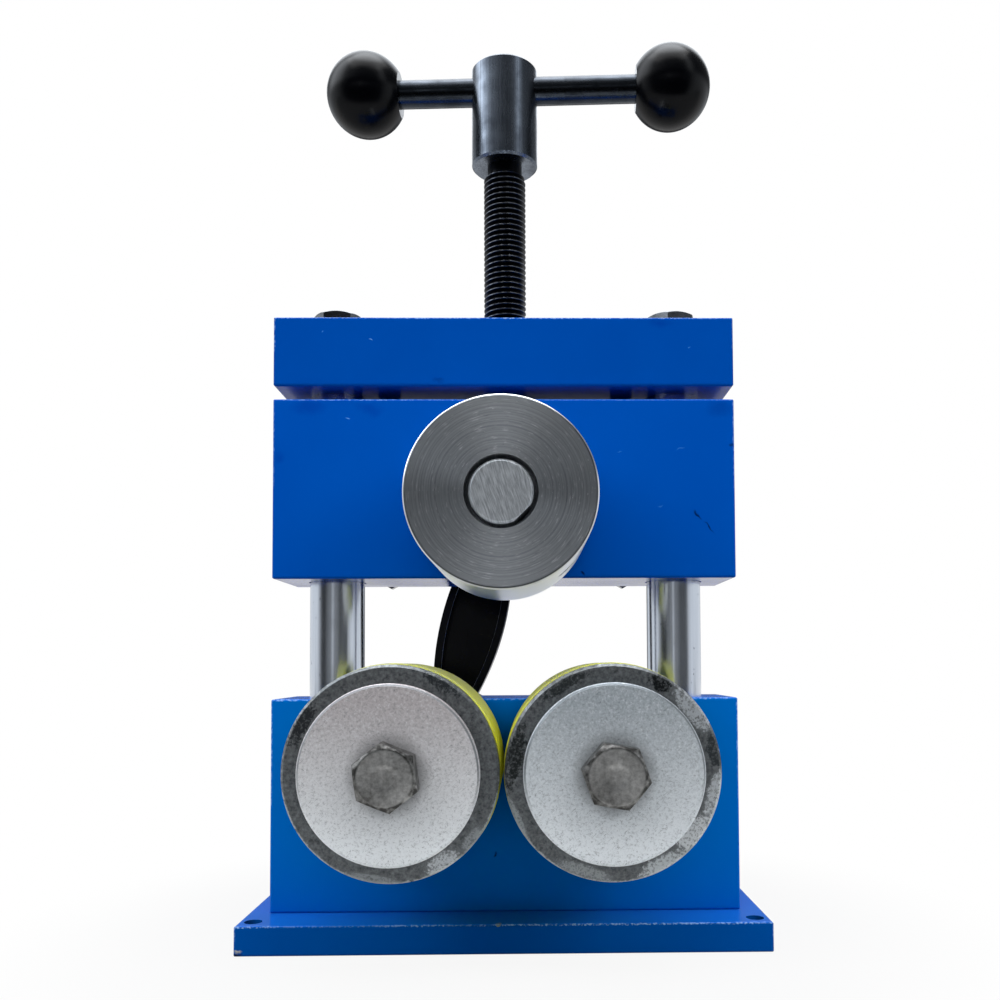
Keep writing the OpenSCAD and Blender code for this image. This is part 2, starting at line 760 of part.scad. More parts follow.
// Places a piece drawn along X on the tommy bar
module at_bar(x) {
    translate([0, 0, bar_z]) rotate([0, 0, bar_turn]) translate([bar_shift + x, 0, 0]) children();
}

module tommy_bar() {
    length = ball_span - 2 * ball_flat + 2 * bar_hold;
    color(BLACK) at_bar(-length / 2) rotate([0, 90, 0]) ring(0, bar_d / 2, length, fine_chamfer);
}

module ball_knob(side) {
    color(BLACK) at_bar(side * ball_span / 2) rotate([0, -side * 90, 0]) rotate_extrude() difference() {
        intersection() {
            circle(d = ball_d);
            translate([0, -ball_d / 2]) square([ball_d / 2, ball_d / 2 + ball_flat]);
        }
        translate([0, ball_flat - bar_hold - fit_gap]) square([bar_d / 2 + fit_gap, bar_hold + past]);
    }
}

base_plate();
lower_block();
foot_screws();
rod_bolts();
guide_rod(-1);  // left_guide_rod
guide_rod(1);  // right_guide_rod
top_plate();
top_plate_bolts();
axle_sleeve(-1);  // left_axle_sleeve
axle_sleeve(1);  // right_axle_sleeve
thrust_washer(-1);  // left_thrust_washer
thrust_washer(1);  // right_thrust_washer
retaining_disc(-1);  // left_retaining_disc
retaining_disc(1);  // right_retaining_disc
axle_bolt(-1, axle_bolt_turns[0]);  // left_axle_bolt
axle_bolt(1, axle_bolt_turns[1]);  // right_axle_bolt
roller_hub(-1);  // left_roller_hub
roller_tyre(-1);  // left_roller_tyre
roller_bushes(-1);  // left_roller_bushes
roller_hub(1);  // right_roller_hub
roller_tyre(1);  // right_roller_tyre
roller_bushes(1);  // right_roller_bushes
slider_block();
guide_bushes(-1);  // left_guide_bushes
guide_bushes(1);  // right_guide_bushes
shaft_bush(FRONT);  // front_shaft_bush
shaft_bush(BACK - shaft_bush_len);  // rear_shaft_bush
shaft_thrust_washer();
rear_bearing_plate();
rear_plate_bolts();
screw_keeper();
keeper_screws();
thrust_pad();
roller_shaft();
upper_roller();
roller_set_screw();
crank_arm();
crank_washer();
crank_bolt();
grip_spindle();
crank_grip();
feed_screw();
tee_hub();
hub_set_screw();
tommy_bar();
ball_knob(-1);  // left_ball_knob
ball_knob(1);  // right_ball_knob
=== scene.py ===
# Ring bending machine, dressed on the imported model. Metres, with X right, Y away from the operator, Z up.
import math

import bmesh
import bpy
import numpy as np
from mathutils import Matrix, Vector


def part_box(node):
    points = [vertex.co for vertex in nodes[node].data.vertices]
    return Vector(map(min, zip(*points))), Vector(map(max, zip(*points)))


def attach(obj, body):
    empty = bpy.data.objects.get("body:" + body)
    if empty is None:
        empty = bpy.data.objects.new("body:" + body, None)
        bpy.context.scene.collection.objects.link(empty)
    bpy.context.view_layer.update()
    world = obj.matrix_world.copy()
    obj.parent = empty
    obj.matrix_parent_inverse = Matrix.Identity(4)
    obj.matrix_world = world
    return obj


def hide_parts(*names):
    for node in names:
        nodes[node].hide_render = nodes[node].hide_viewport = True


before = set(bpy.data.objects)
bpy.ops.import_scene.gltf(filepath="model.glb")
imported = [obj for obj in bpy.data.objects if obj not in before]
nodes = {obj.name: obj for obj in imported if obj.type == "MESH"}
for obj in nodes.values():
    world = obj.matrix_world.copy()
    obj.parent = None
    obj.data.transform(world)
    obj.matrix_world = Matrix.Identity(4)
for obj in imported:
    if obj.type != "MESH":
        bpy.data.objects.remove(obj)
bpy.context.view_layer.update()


# Base plate: flat mild steel bar with its edges rounded over, sprayed with gloss blue machine enamel.
# Four holes in its corners bolt it to a bench, and screws from below hold the block and the rods.
def linear(hex_colour):
    """sRGB hex to linear RGBA: c / 12.92 up to 0.04045, ((c + 0.055) / 1.055) ** 2.4 above it."""
    parts = [int(hex_colour[i:i + 2], 16) / 255 for i in (1, 3, 5)]
    return [c / 12.92 if c <= 0.04045 else ((c + 0.055) / 1.055) ** 2.4 for c in parts] + [1.0]


def node(tree, kind, inputs=None, **settings):
    """Adds a shader node with its settings, fills or links its inputs and returns its outputs."""
    made = tree.nodes.new("ShaderNode" + kind)
    for name, value in settings.items():
        setattr(made, name, value)
    for key, value in (inputs or {}).items():
        if isinstance(value, bpy.types.NodeSocket):
            tree.links.new(value, made.inputs[key])
        else:
            made.inputs[key].default_value = value
    return made.outputs


def finish(name, **sockets):
    """New material with one Principled shader and its plain socket values (Base_Color is Base Color)."""
    material = bpy.data.materials.new(name)
    material.use_nodes = True
    shader = material.node_tree.nodes["Principled BSDF"]
    for socket, value in sockets.items():
        shader.inputs[socket.replace("_", " ")].default_value = value
    return material, material.node_tree, shader.inputs


def dress(material, *names):
    """Puts one material on CAD nodes in place of their packed ones."""
    for name in names:
        slots = nodes[name].data.materials
        slots.clear()
        slots.append(material)


def blue_enamel(piece, deep, light, edge_wear_and_highlight, marks, sheen=0.2):
    """Sprayed gloss alkyd enamel: deep blue, orange peel, painted light on upward faces and worn top edges.

    The distance to the nearest edge of the piece's box is the sum of the two smallest of
    half size - |place - middle|. A mark is (x, z, half length, half width in mm, turn in degrees,
    colour, strength) on the front face. Its outline strays by up to half of stray and its colour goes
    skin deep, both in metres. sheen is the specular level of the coat.
    """
    stray, skin = 0.004, 0.004
    low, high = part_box(piece)
    material, tree, shader = finish(
        "gloss_blue_enamel_" + piece, IOR=1.5, Specular_IOR_Level=sheen, Specular_Tint=linear("#0060FF"),
    )
    place = node(tree, "TexCoord")["Object"]
    cloud = node(tree, "TexNoise", {"Vector": place, "Scale": 1 / 0.030, "Detail": 4.0})["Fac"]
    paint = node(tree, "Mix", {0: cloud, 6: linear(deep), 7: linear(light)}, data_type="RGBA")[2]
    facing = node(tree, "SeparateXYZ", {0: node(tree, "TexCoord")["Normal"]})[2]
    # Faces that look up are mixed towards a lighter blue: painted light from above.
    painted_top_light = node(tree, "MapRange", {0: facing, 1: 0.6, 2: 0.95})[0]
    paint = node(tree, "Mix", {0: painted_top_light, 6: paint, 7: linear("#166CD8")}, data_type="RGBA")[2]

    offset = node(tree, "VectorMath", {0: place, 1: (low + high) / 2}, operation="SUBTRACT")[0]
    offset = node(tree, "VectorMath", {0: offset}, operation="ABSOLUTE")[0]
    inside = node(tree, "VectorMath", {0: (high - low) / 2, 1: offset}, operation="SUBTRACT")[0]
    depth = node(tree, "SeparateXYZ", {0: inside})
    total = node(tree, "VectorMath", {0: inside, 1: (1, 1, 1)}, operation="DOT_PRODUCT")["Value"]
    most = node(tree, "Math", {0: depth[0], 1: depth[1]}, operation="MAXIMUM")[0]
    most = node(tree, "Math", {0: most, 1: depth[2]}, operation="MAXIMUM")[0]
    edge = node(tree, "Math", {0: total, 1: most}, operation="SUBTRACT")[0]
    # A pale line along the top edges: worn paint, and a painted highlight where the rounded edges face the
    # light above.
    ragged = node(tree, "TexNoise", {"Vector": place, "Scale": 1 / 0.0008, "Detail": 4.0})["Fac"]
    reach = node(tree, "MapRange", {0: ragged, 1: 0.35, 2: 0.65, 3: 0.00045, 4: 0.0008})[0]
    worn_edge_and_highlight = node(tree, "Math", {0: reach, 1: edge}, operation="SUBTRACT")[0]
    worn_edge_and_highlight = node(tree, "MapRange", {0: worn_edge_and_highlight, 1: 0.0, 2: 0.0002})[0]
    patchy = node(tree, "TexNoise", {"Vector": place, "Scale": 1 / 0.045, "Detail": 1.0})["Fac"]
    patchy = node(tree, "MapRange", {0: patchy, 1: 0.42, 2: 0.55, 3: 0.3 * edge_wear_and_highlight, 4: edge_wear_and_highlight})[0]
    upper = node(tree, "SeparateXYZ", {0: place})[2]
    upper = node(tree, "Math", {0: upper, 1: (low.z + high.z) / 2}, operation="GREATER_THAN")[0]
    worn_edge_and_highlight = node(tree, "Math", {0: worn_edge_and_highlight, 1: patchy}, operation="MULTIPLY")[0]
    worn_edge_and_highlight = node(tree, "Math", {0: worn_edge_and_highlight, 1: upper}, operation="MULTIPLY")[0]
    paint = node(tree, "Mix", {0: worn_edge_and_highlight, 6: paint, 7: linear("#A8CBF5")}, data_type="RGBA")[2]

    wander = node(tree, "TexNoise", {"Vector": place, "Scale": 1 / 0.004, "Detail": 3.0})["Color"]
    wander = node(tree, "VectorMath", {0: wander, 1: (0.5, 0.5, 0.5)}, operation="SUBTRACT")[0]
    strayed = node(
        tree, "VectorMath", {0: wander, 1: [stray] * 3, 2: place}, operation="MULTIPLY_ADD",
    )[0]
    for x, z, half_length, half_width, turn, colour, strength in marks:
        local = node(tree, "Mapping", {
            "Vector": strayed, "Location": (x / 1000, low.y, z / 1000),
            "Rotation": (0, math.radians(turn), 0), "Scale": (half_length / 1000, skin, half_width / 1000),
        }, vector_type="TEXTURE")[0]
        away = node(tree, "VectorMath", {0: local}, operation="LENGTH")["Value"]
        spot = node(tree, "MapRange", {0: away, 1: 0.3, 2: 1.0, 3: strength, 4: 0.0})[0]
        paint = node(tree, "Mix", {0: spot, 6: paint, 7: linear(colour)}, data_type="RGBA")[2]
    tree.links.new(paint, shader["Base Color"])

    gloss = node(tree, "MapRange", {0: cloud, 1: 0.3, 2: 0.7, 3: 0.16, 4: 0.24})[0]
    tree.links.new(gloss, shader["Roughness"])
    peel = node(tree, "TexNoise", {"Vector": place, "Scale": 1 / 0.0009, "Detail": 3.0})["Fac"]
    bumps = node(tree, "Bump", {"Height": peel, "Strength": 0.3, "Distance": 0.00005})[0]
    tree.links.new(bumps, shader["Normal"])
    dress(material, piece)


# Its blue is set deeper than the slider's, as painted shade.
blue_enamel("base_plate", "#004490", "#004C9A", 0.5, [
    (-88.4, 1.3, 1.6, 0.4, 0, "#A5A394", 0.8),
    (-88.8, 0.6, 1.9, 0.45, 0, "#1E1A16", 0.9),
    (-2.2, 10.0, 0.8, 0.4, 0, "#8C8F6A", 0.8),
])

# Lower block: sawn steel bar, drilled for the rods and the two axle bolts, in the same blue enamel.
# It stands on the base plate and is held from below.
# Its blue is set lighter than the slider's, as painted light.
blue_enamel("lower_block", "#005CB6", "#0064BE", 0.5, [
    (-3.7, 29.7, 1.6, 0.6, -65, "#041530", 0.9),
])


# Countersunk screws under the base plate: forged steel with a zinc plate gone dull.
# They hold the block and the two rods from below and lie flush with the plate.
def bare_steel(name, dark, light, rough, grain):
    """Unpainted steel: mottled grey between two tones, with patches of oil and fine pitting.

    grain is the size of the mottling in mm, and the pitting is a quarter of it.
    """
    material, tree, shader = finish(name, Metallic=1.0)
    place = node(tree, "TexCoord")["Object"]
    mottle = node(tree, "TexNoise", {
        "Vector": place, "Scale": 1000 / grain, "Detail": 6.0, "Roughness": 0.7,
    })["Fac"]
    stain = node(tree, "TexNoise", {"Vector": place, "Scale": 1 / 0.018, "Detail": 4.0})["Fac"]
    mixed = node(tree, "Math", {0: mottle, 1: stain}, operation="ADD")[0]
    mixed = node(tree, "MapRange", {0: mixed, 1: 0.7, 2: 1.3})[0]
    tone = node(tree, "Mix", {0: mixed, 6: linear(dark), 7: linear(light)}, data_type="RGBA")[2]
    tree.links.new(tone, shader["Base Color"])
    worn = node(tree, "MapRange", {0: stain, 1: 0.3, 2: 0.7, 3: rough - 0.08, 4: rough + 0.1})[0]
    tree.links.new(worn, shader["Roughness"])
    pits = node(tree, "TexNoise", {"Vector": place, "Scale": 4000 / grain, "Detail": 3.0})["Fac"]
    bumps = node(tree, "Bump", {"Height": pits, "Strength": 0.2, "Distance": 0.00006})[0]
    tree.links.new(bumps, shader["Normal"])
    return material


dull_bolt = bare_steel("dull_zinc_bolt", "#404346", "#72757A", 0.2, 1.6)
dress(dull_bolt, "foot_screws", "rod_bolts")


# Guide rods: ground steel rod with a hard chrome plate, pressed into the lower block.
# The bushes draw fine lines along them, handling smears the polish, and a few pits show.
chrome, tree, shader = finish("hard_chromed_rod", Metallic=1.0)
place = node(tree, "TexCoord")["Object"]
drawn = node(tree, "Mapping", {"Vector": place, "Scale": (1 / 0.0006, 1 / 0.0006, 1 / 0.06)})[0]
drawn = node(tree, "TexNoise", {"Vector": drawn, "Scale": 1.0, "Detail": 2.0})["Fac"]
smears = node(tree, "TexNoise", {"Vector": place, "Scale": 1 / 0.012, "Detail": 4.0})["Fac"]
pits = node(tree, "TexNoise", {"Vector": place, "Scale": 1 / 0.0012, "Detail": 1.0})["Fac"]
pits = node(tree, "MapRange", {0: pits, 1: 0.74, 2: 0.78, 3: 0.0, 4: 0.85})[0]
tone = node(tree, "Mix", {0: drawn, 6: linear("#BEC3CB"), 7: linear("#D3D8E0")}, data_type="RGBA")[2]
tone = node(tree, "Mix", {0: pits, 6: tone, 7: linear("#22262B")}, data_type="RGBA")[2]
tree.links.new(tone, shader["Base Color"])
polish = node(tree, "MapRange", {0: smears, 1: 0.3, 2: 0.8, 3: 0.15, 4: 0.22})[0]
tree.links.new(polish, shader["Roughness"])
bumps = node(tree, "Bump", {"Height": drawn, "Strength": 0.1, "Distance": 0.00004})[0]
tree.links.new(bumps, shader["Normal"])
dress(chrome, "left_guide_rod", "right_guide_rod")


# Slider: steel block in the same blue enamel, bored for the rods and the roller shaft.
# Its top edge has been touched up, and a curved scratch and small knocks show on its front.
blue_enamel("slider_block", "#00449F", "#004AA6", 0.3, [
    (-70.0, 188.6, 7.5, 3.4, 0, "#003590", 0.55),
    (-48.0, 188.0, 6.5, 3.0, 8, "#003590", 0.5),
    (-56.1, 184.6, 1.3, 0.3, 15, "#5C95D6", 0.8),
    (-80.2, 170.2, 2.2, 2.6, 0, "#003590", 0.5),
    (77.5, 187.8, 6.0, 3.5, 0, "#003587", 0.5),
    (41.0, 173.0, 1.4, 0.3, 0, "#2F6DB9", 0.7),
    (62.9, 173.3, 2.0, 0.35, -25, "#2F6DB9", 0.7),
    (81.6, 174.7, 1.2, 0.8, 0, "#0A1730", 0.6),
    (55.8, 152.8, 1.5, 0.3, -5, "#2F6DB9", 0.6),
    (69.0, 149.8, 2.6, 0.55, 65, "#03112B", 0.9),
    (73.0, 145.0, 3.4, 0.4, 45, "#03112B", 0.9),
    (27.8, 128.6, 0.7, 0.9, 0, "#05080D", 0.9),
])

# Bearings: sintered bronze bushes and thrust washers, pressed into the slider and the lower rollers.
# Only their edges show, between the pieces that turn.
bronze, tree, shader = finish("sintered_bronze", Metallic=1.0, Roughness=0.45)
place = node(tree, "TexCoord")["Object"]
pores = node(tree, "TexNoise", {"Vector": place, "Scale": 1 / 0.0008, "Detail": 4.0})["Fac"]
tone = node(tree, "Mix", {0: pores, 6: linear("#8A6232"), 7: linear("#C09455")}, data_type="RGBA")[2]
tree.links.new(tone, shader["Base Color"])
bumps = node(tree, "Bump", {"Height": pores, "Strength": 0.2, "Distance": 0.00005})[0]
tree.links.new(bumps, shader["Normal"])
dress(
    bronze, "left_guide_bushes", "right_guide_bushes", "front_shaft_bush", "rear_shaft_bush",
    "thrust_pad", "shaft_thrust_washer", "left_thrust_washer", "right_thrust_washer",
    "left_roller_bushes", "right_roller_bushes",
)


# Rear bearing plate: the same blue enamel, held on the slider's back by four bolts.
# It carries the shaft's rear bush.
blue_enamel("rear_bearing_plate", "#00449F", "#004AA6", 0.3, [])

# Screw keeper and sleeves: bright drawn steel, left unpainted, mottled by oil and faint rolling lines.
# The keeper lies flush in the slider's top, and the sleeves stand between the discs and the block.
drawn_steel = bare_steel("bright_drawn_steel", "#7C8085", "#A4A8AC", 0.38, 3.0)
dress(drawn_steel, "screw_keeper", "left_axle_sleeve", "right_axle_sleeve")


# Keeper screws and set screws: black oxide on alloy steel.
# Two hold the keeper, one stands on the shaft's flat and one in the tee hub.
def black_oxide(name, dark, light, rough, grain):
    """Hot black oxide on turned or drawn steel: near black and satin, rubbed lighter along its tool lines.

    grain is the size in mm of those lines along X, Y and Z.
    """
    material, tree, shader = finish(name, Metallic=1.0)
    place = node(tree, "TexCoord")["Object"]
    lines = node(tree, "Mapping", {"Vector": place, "Scale": [1000 / size for size in grain]})[0]
    lines = node(tree, "TexNoise", {"Vector": lines, "Scale": 1.0, "Detail": 3.0, "Roughness": 0.6})["Fac"]
    rubbed_and_highlight = node(tree, "TexNoise", {"Vector": place, "Scale": 1 / 0.006, "Detail": 5.0})["Fac"]
    worn = node(tree, "Math", {0: lines, 1: rubbed_and_highlight}, operation="ADD")[0]
    worn = node(tree, "MapRange", {0: worn, 1: 0.75, 2: 1.3})[0]
    tone = node(tree, "Mix", {0: worn, 6: linear(dark), 7: linear(light)}, data_type="RGBA")[2]
    tree.links.new(tone, shader["Base Color"])
    satin = node(tree, "MapRange", {0: worn, 3: rough + 0.06, 4: rough - 0.06})[0]
    tree.links.new(satin, shader["Roughness"])
    bumps = node(tree, "Bump", {"Height": lines, "Strength": 0.1, "Distance": 0.00003})[0]
    tree.links.new(bumps, shader["Normal"])
    return material


oxide_screw = black_oxide("black_oxide_screws", "#1C1E22", "#33363B", 0.42, (0.7, 0.7, 0.7))
dress(oxide_screw, "keeper_screws", "roller_set_screw", "hub_set_screw")

# Top plate: the same blue enamel on a steel bar, tapped in the middle for the feed screw.
# Two bolts clamp it on the ends of the rods.
# Its blue is set deeper than the slider's, as painted shade.
blue_enamel("top_plate", "#003F94", "#00459C", 0.45, [
    (56.1, 219.2, 5.0, 2.2, 0, "#00348A", 0.55),
    (-23.7, 197.9, 2.4, 1.0, 0, "#012F78", 0.6),
    (-47.8, 212.6, 0.9, 0.25, 0, "#6FA3DC", 0.8),
    (-65.0, 215.6, 0.5, 0.3, 0, "#3F7CC4", 0.7),
    (66.9, 210.7, 0.6, 0.3, 0, "#3F7CC4", 0.7),
], sheen=0.06)


# Hexagon bolts: forged heads with a 30 degree chamfer and a shallow dish, zinc gone dull.
# Two clamp the top plate, four hold the rear plate, one holds the crank and two are the roller axles.
SHARP = math.radians(28)


def closed_mesh(name, rings):
    """Mesh of a grid of rings, rows x columns x 3, wrapped round its columns and closed at both ends.

    Each end gets one point at the mean of its ring, and quads join each ring to the next.
    """
    rows, columns = rings.shape[:2]
    points = np.concatenate([rings.reshape(-1, 3), rings[0].mean(0)[None], rings[-1].mean(0)[None]])
    first, last = rows * columns, rows * columns + 1
    index = np.arange(rows * columns).reshape(rows, columns)
    beside = np.roll(index, -1, axis=1)
    quads = np.stack([index[:-1], beside[:-1], beside[1:], index[1:]], axis=-1).reshape(-1, 4)
    start = np.stack([np.full(columns, first), beside[0], index[0]], axis=-1)
    end = np.stack([np.full(columns, last), index[-1], beside[-1]], axis=-1)
    mesh = bpy.data.meshes.new(name)
    mesh.from_pydata(points.tolist(), [], quads.tolist() + start.tolist() + end.tolist())
    mesh.polygons.foreach_set("use_smooth", np.ones(len(mesh.polygons), bool))
    mesh.set_sharp_from_angle(angle=SHARP)
    mesh.update()
    return mesh


def hex_bolt(d, af, head, length, turn):
    """Rings of a bolt with its head on z = 0, in mm, from the end of the shank to the middle of the head.

    d is the shank's diameter and af the width across flats. The head's outline is
    r = af / 2 / cos((angle mod 60) - 30), the chamfer falls by tan 30 outside a crown of 0.47 af, and
    the shallow forged dimple is a logistic step at 0.4 of the crown. point is the chamfer at the
    shank's end, and seat the height of the washer face under the head.
    """
    point, seat = 0.8, 0.3
    shank, face = d / 2, 0.94 * af / 2
    angle = np.linspace(0, 2 * np.pi, 96, endpoint=False)
    outline = af / 2 / np.cos(np.mod(angle, np.pi / 3) - np.pi / 6)
    crown, dish = 0.47 * af, 0.012 * af
    slope = np.linspace(0, 1, 5)[:, None]
    bowl = np.linspace(1, 0.03, 24)[:, None]
    full = np.ones_like(angle)
    radius = np.concatenate([
        [(shank - point) * full, shank * full, shank * full, face * full, face * full, outline],
        outline + (crown - outline) * slope,
        (crown - 0.35) * bowl * full,
    ])
    height = np.concatenate([
        [-length * full, (point - length) * full, 0 * full, 0 * full, seat * full, seat * full],
        head - (outline + (crown - outline) * slope - crown) * math.tan(math.pi / 6),
        head + 0.05 - dish / (1 + np.exp((bowl - 0.4) / 0.05)) * full,
    ])
    turned = angle + math.radians(turn)
    return np.stack([radius * np.cos(turned), radius * np.sin(turned), height], axis=-1)


def placed(rings, at, axis):
    """Rings in mm carried to their place in metres, with their +Z along axis: 'Z', '-Y' or 'Y'."""
    x, y, z = rings[..., 0], rings[..., 1], rings[..., 2]
    turned = {"Z": (x, y, z), "-Y": (x, -z, y), "Y": (x, z, -y)}[axis]
    return (np.stack(turned, axis=-1) + np.array(at)) / 1000


def fitted(meshes, name, replaced, body, material, soften=0.0):
    """One object of several closed meshes that stands for a CAD node and rides on its body.

    soften is the width in mm of a bevel along the sharp edges.
    """
    base = bpy.data.objects.new(name, meshes[0])
    bpy.context.scene.collection.objects.link(base)
    if len(meshes) > 1:
        others = [bpy.data.objects.new(name + str(i), mesh) for i, mesh in enumerate(meshes[1:])]
        for other in others:
            bpy.context.scene.collection.objects.link(other)
        with bpy.context.temp_override(active_object=base, selected_editable_objects=[base] + others):
            bpy.ops.object.join()
    base.data.materials.clear()
    base.data.materials.append(material)
    if soften:
        bevel = base.modifiers.new("soft edges", "BEVEL")
        bevel.width = soften / 1000
        bevel.segments = 2
        bevel.limit_method = "ANGLE"
        bevel.angle_limit = SHARP
    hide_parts(replaced)
    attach(base, body)


TOP_BOLT_X, TOP_BOLT_Z = 62.75, 221.2
top_bolts = [
    closed_mesh("top_bolt", placed(
        hex_bolt(d=10, af=17, head=6.4, length=43, turn=turn), (x, 0, TOP_BOLT_Z), "Z",
    ))
    for x, turn in ((-TOP_BOLT_X, 6), (TOP_BOLT_X, 16))
]
fitted(top_bolts, "top_plate_hex_bolts", "top_plate_bolts", "frame", dull_bolt)
REAR_BOLT_X, REAR_BOLT_Y, REAR_BOLT_LOW, REAR_BOLT_HIGH = 46.5, 27, 134.5, 174.5
rear_bolts = [
    closed_mesh("rear_bolt", placed(
        hex_bolt(d=8, af=13, head=5.3, length=20, turn=30), (x, REAR_BOLT_Y, z), "Y",
    ))
    for x in (-REAR_BOLT_X, REAR_BOLT_X) for z in (REAR_BOLT_LOW, REAR_BOLT_HIGH)
]
fitted(rear_bolts, "rear_plate_hex_bolts", "rear_plate_bolts", "slider", dull_bolt)

# Crank washer and grip spindle: punched and turned steel with a bright zinc plate.
# The washer lies under the crank's bolt, and the spindle is riveted in the arm.
zinc = bare_steel("bright_zinc_plate", "#9EA2A6", "#C6CACD", 0.34, 1.2)
dress(zinc, "crank_washer", "grip_spindle")

# Lower rollers, hubs: raw turned steel with mill scale left on the cheek, rubbed bright in patches.
# Each hub turns on bushes round its axle sleeve and carries a tyre behind its front cheek.
AXLE_X, AXLE_Z, CHEEK_Y = 33.7, 63.6, -69.0
RIM_INSIDE, RIM_OUTSIDE = 0.0310, 0.0328


def spoke_from(tree, place, middle):
    """Offset of a place from an axle that runs along Y through middle, and the length of that offset."""
    spoke = node(tree, "VectorMath", {0: place, 1: middle}, operation="SUBTRACT")[0]
    spoke = node(tree, "VectorMath", {0: spoke, 1: (1, 0, 1)}, operation="MULTIPLY")[0]
    return spoke, node(tree, "VectorMath", {0: spoke}, operation="LENGTH")["Value"]


def scaled_steel(side, axle_x, patches):
    """Raw turned steel: dark, gritty mill scale with a rubbed rim, and patches rubbed bright or left black.

    A patch is (angle in degrees and radius in mm of its middle on the cheek, half length round the rim,
    half width, colour). Grit breaks its edge, so the edge is where distance + grit passes 1. Its colour
    goes skin deep, in metres.
    """
    skin = 0.006
    material, tree, shader = finish("scaled_turned_steel_" + side, Metallic=0.8)
    place = node(tree, "TexCoord")["Object"]
    scale = node(tree, "TexNoise", {
        "Vector": place, "Scale": 1 / 0.0016, "Detail": 7.0, "Roughness": 0.8,
    })["Fac"]
    grit = node(tree, "MapRange", {0: scale, 1: 0.32, 2: 0.68})[0]
    tone = node(tree, "Mix", {0: grit, 6: linear("#3B3E40"), 7: linear("#8E9294")}, data_type="RGBA")[2]
    spoke, radius = spoke_from(tree, place, (axle_x / 1000, 0, AXLE_Z / 1000))
    rim = node(tree, "MapRange", {0: radius, 1: RIM_INSIDE, 2: RIM_OUTSIDE, 3: -0.3, 4: 0.25})[0]
    rise = node(tree, "SeparateXYZ", {0: spoke})[2]
    lower = node(tree, "MapRange", {0: rise, 1: 0.005, 2: -0.01, 3: -0.2, 4: 0.0})[0]
    rim = node(tree, "Math", {0: rim, 1: lower}, operation="ADD")[0]
    rim = node(tree, "Math", {0: rim, 1: scale}, operation="ADD")[0]
    rim = node(tree, "MapRange", {0: rim, 1: 0.62, 2: 0.72})[0]
    tone = node(tree, "Mix", {0: rim, 6: tone, 7: linear("#AEB4B6")}, data_type="RGBA")[2]
    ragged = node(tree, "MapRange", {0: scale, 1: 0.3, 2: 0.7, 3: -0.6, 4: 0.6})[0]
    pitted = node(tree, "TexNoise", {
        "Vector": place, "Scale": 1 / 0.0007, "Detail": 4.0, "Roughness": 0.7,
    })["Fac"]
    pitted = node(tree, "MapRange", {0: pitted, 1: 0.4, 2: 0.5, 3: 0.25, 4: 1.0})[0]
    for angle, reach, half_length, half_width, colour in patches:
        turn = math.radians(angle)
        x, z = axle_x + reach * math.cos(turn), AXLE_Z + reach * math.sin(turn)
        spot = node(tree, "Mapping", {
            "Vector": place, "Location": (x / 1000, CHEEK_Y / 1000, z / 1000),
            "Rotation": (0, -turn, 0), "Scale": (half_width / 1000, skin, half_length / 1000),
        }, vector_type="TEXTURE")[0]
        spot = node(tree, "VectorMath", {0: spot}, operation="LENGTH")["Value"]
        spot = node(tree, "Math", {0: spot, 1: ragged}, operation="ADD")[0]
        spot = node(tree, "MapRange", {0: spot, 1: 0.85, 2: 1.15, 3: 1.0, 4: 0.0})[0]
        spot = node(tree, "Math", {0: spot, 1: pitted}, operation="MULTIPLY")[0]
        tone = node(tree, "Mix", {0: spot, 6: tone, 7: linear(colour)}, data_type="RGBA")[2]
    tree.links.new(tone, shader["Base Color"])
    worn = node(tree, "MapRange", {0: grit, 3: 0.5, 4: 0.42})[0]
    tree.links.new(worn, shader["Roughness"])
    bumps = node(tree, "Bump", {"Height": scale, "Strength": 0.4, "Distance": 0.00008})[0]
    tree.links.new(bumps, shader["Normal"])
    dress(material, side + "_roller_hub")


scaled_steel("left", -AXLE_X, [
    (-59, 31.0, 5.0, 2.6, "#D3D7DA"), (-38, 31.4, 4.0, 1.6, "#A3A8AA"), (-100, 31.6, 8.0, 1.2, "#999EA0"),
    (150, 30.5, 7.0, 2.0, "#34373A"), (60, 31.0, 6.0, 1.6, "#3C4043"),
])
scaled_steel("right", AXLE_X, [
    (38, 30.6, 7.5, 2.8, "#CDD2D6"), (62, 30.4, 3.5, 2.2, "#1D2022"), (12, 31.2, 5.5, 2.0, "#3F4447"),
    (-15, 31.4, 8.0, 2.4, "#D4D9DC"), (-37, 30.0, 6.5, 3.0, "#E4E8EA"), (-62, 31.0, 7.0, 2.2, "#D2D7D9"),
    (-107, 30.6, 8.0, 1.6, "#A4A9AA"), (-155, 32.0, 8.0, 1.0, "#A4A9AA"), (170, 30.0, 9.0, 2.4, "#2A2E2E"),
    (120, 30.2, 8.0, 1.6, "#3A3F40"),
])

# Lower rollers, tyres: cast polyurethane, yellow-green, translucent and dulled by a film of grey dust.
# The tyre is cast on the hub's core and turned to size.
urethane, tree, shader = finish(
    "cast_polyurethane", Roughness=0.6, IOR=1.5, Specular_IOR_Level=0.3, Subsurface_Weight=1.0,
    Subsurface_Scale=0.012, Subsurface_Radius=(1.0, 0.95, 0.2),
)
place = node(tree, "TexCoord")["Object"]
tint = node(tree, "TexNoise", {"Vector": place, "Scale": 1 / 0.008, "Detail": 3.0})["Fac"]
tone = node(tree, "Mix", {0: tint, 6: linear("#D0D02A"), 7: linear("#DEDE3C")}, data_type="RGBA")[2]
dust_and_top_shade = node(tree, "TexNoise", {
    "Vector": place, "Scale": 1 / 0.005, "Detail": 5.0, "Roughness": 0.7,
})["Fac"]
dust_and_top_shade = node(tree, "MapRange", {0: dust_and_top_shade, 1: 0.4, 2: 0.65, 3: 0.0, 4: 0.15})[0]
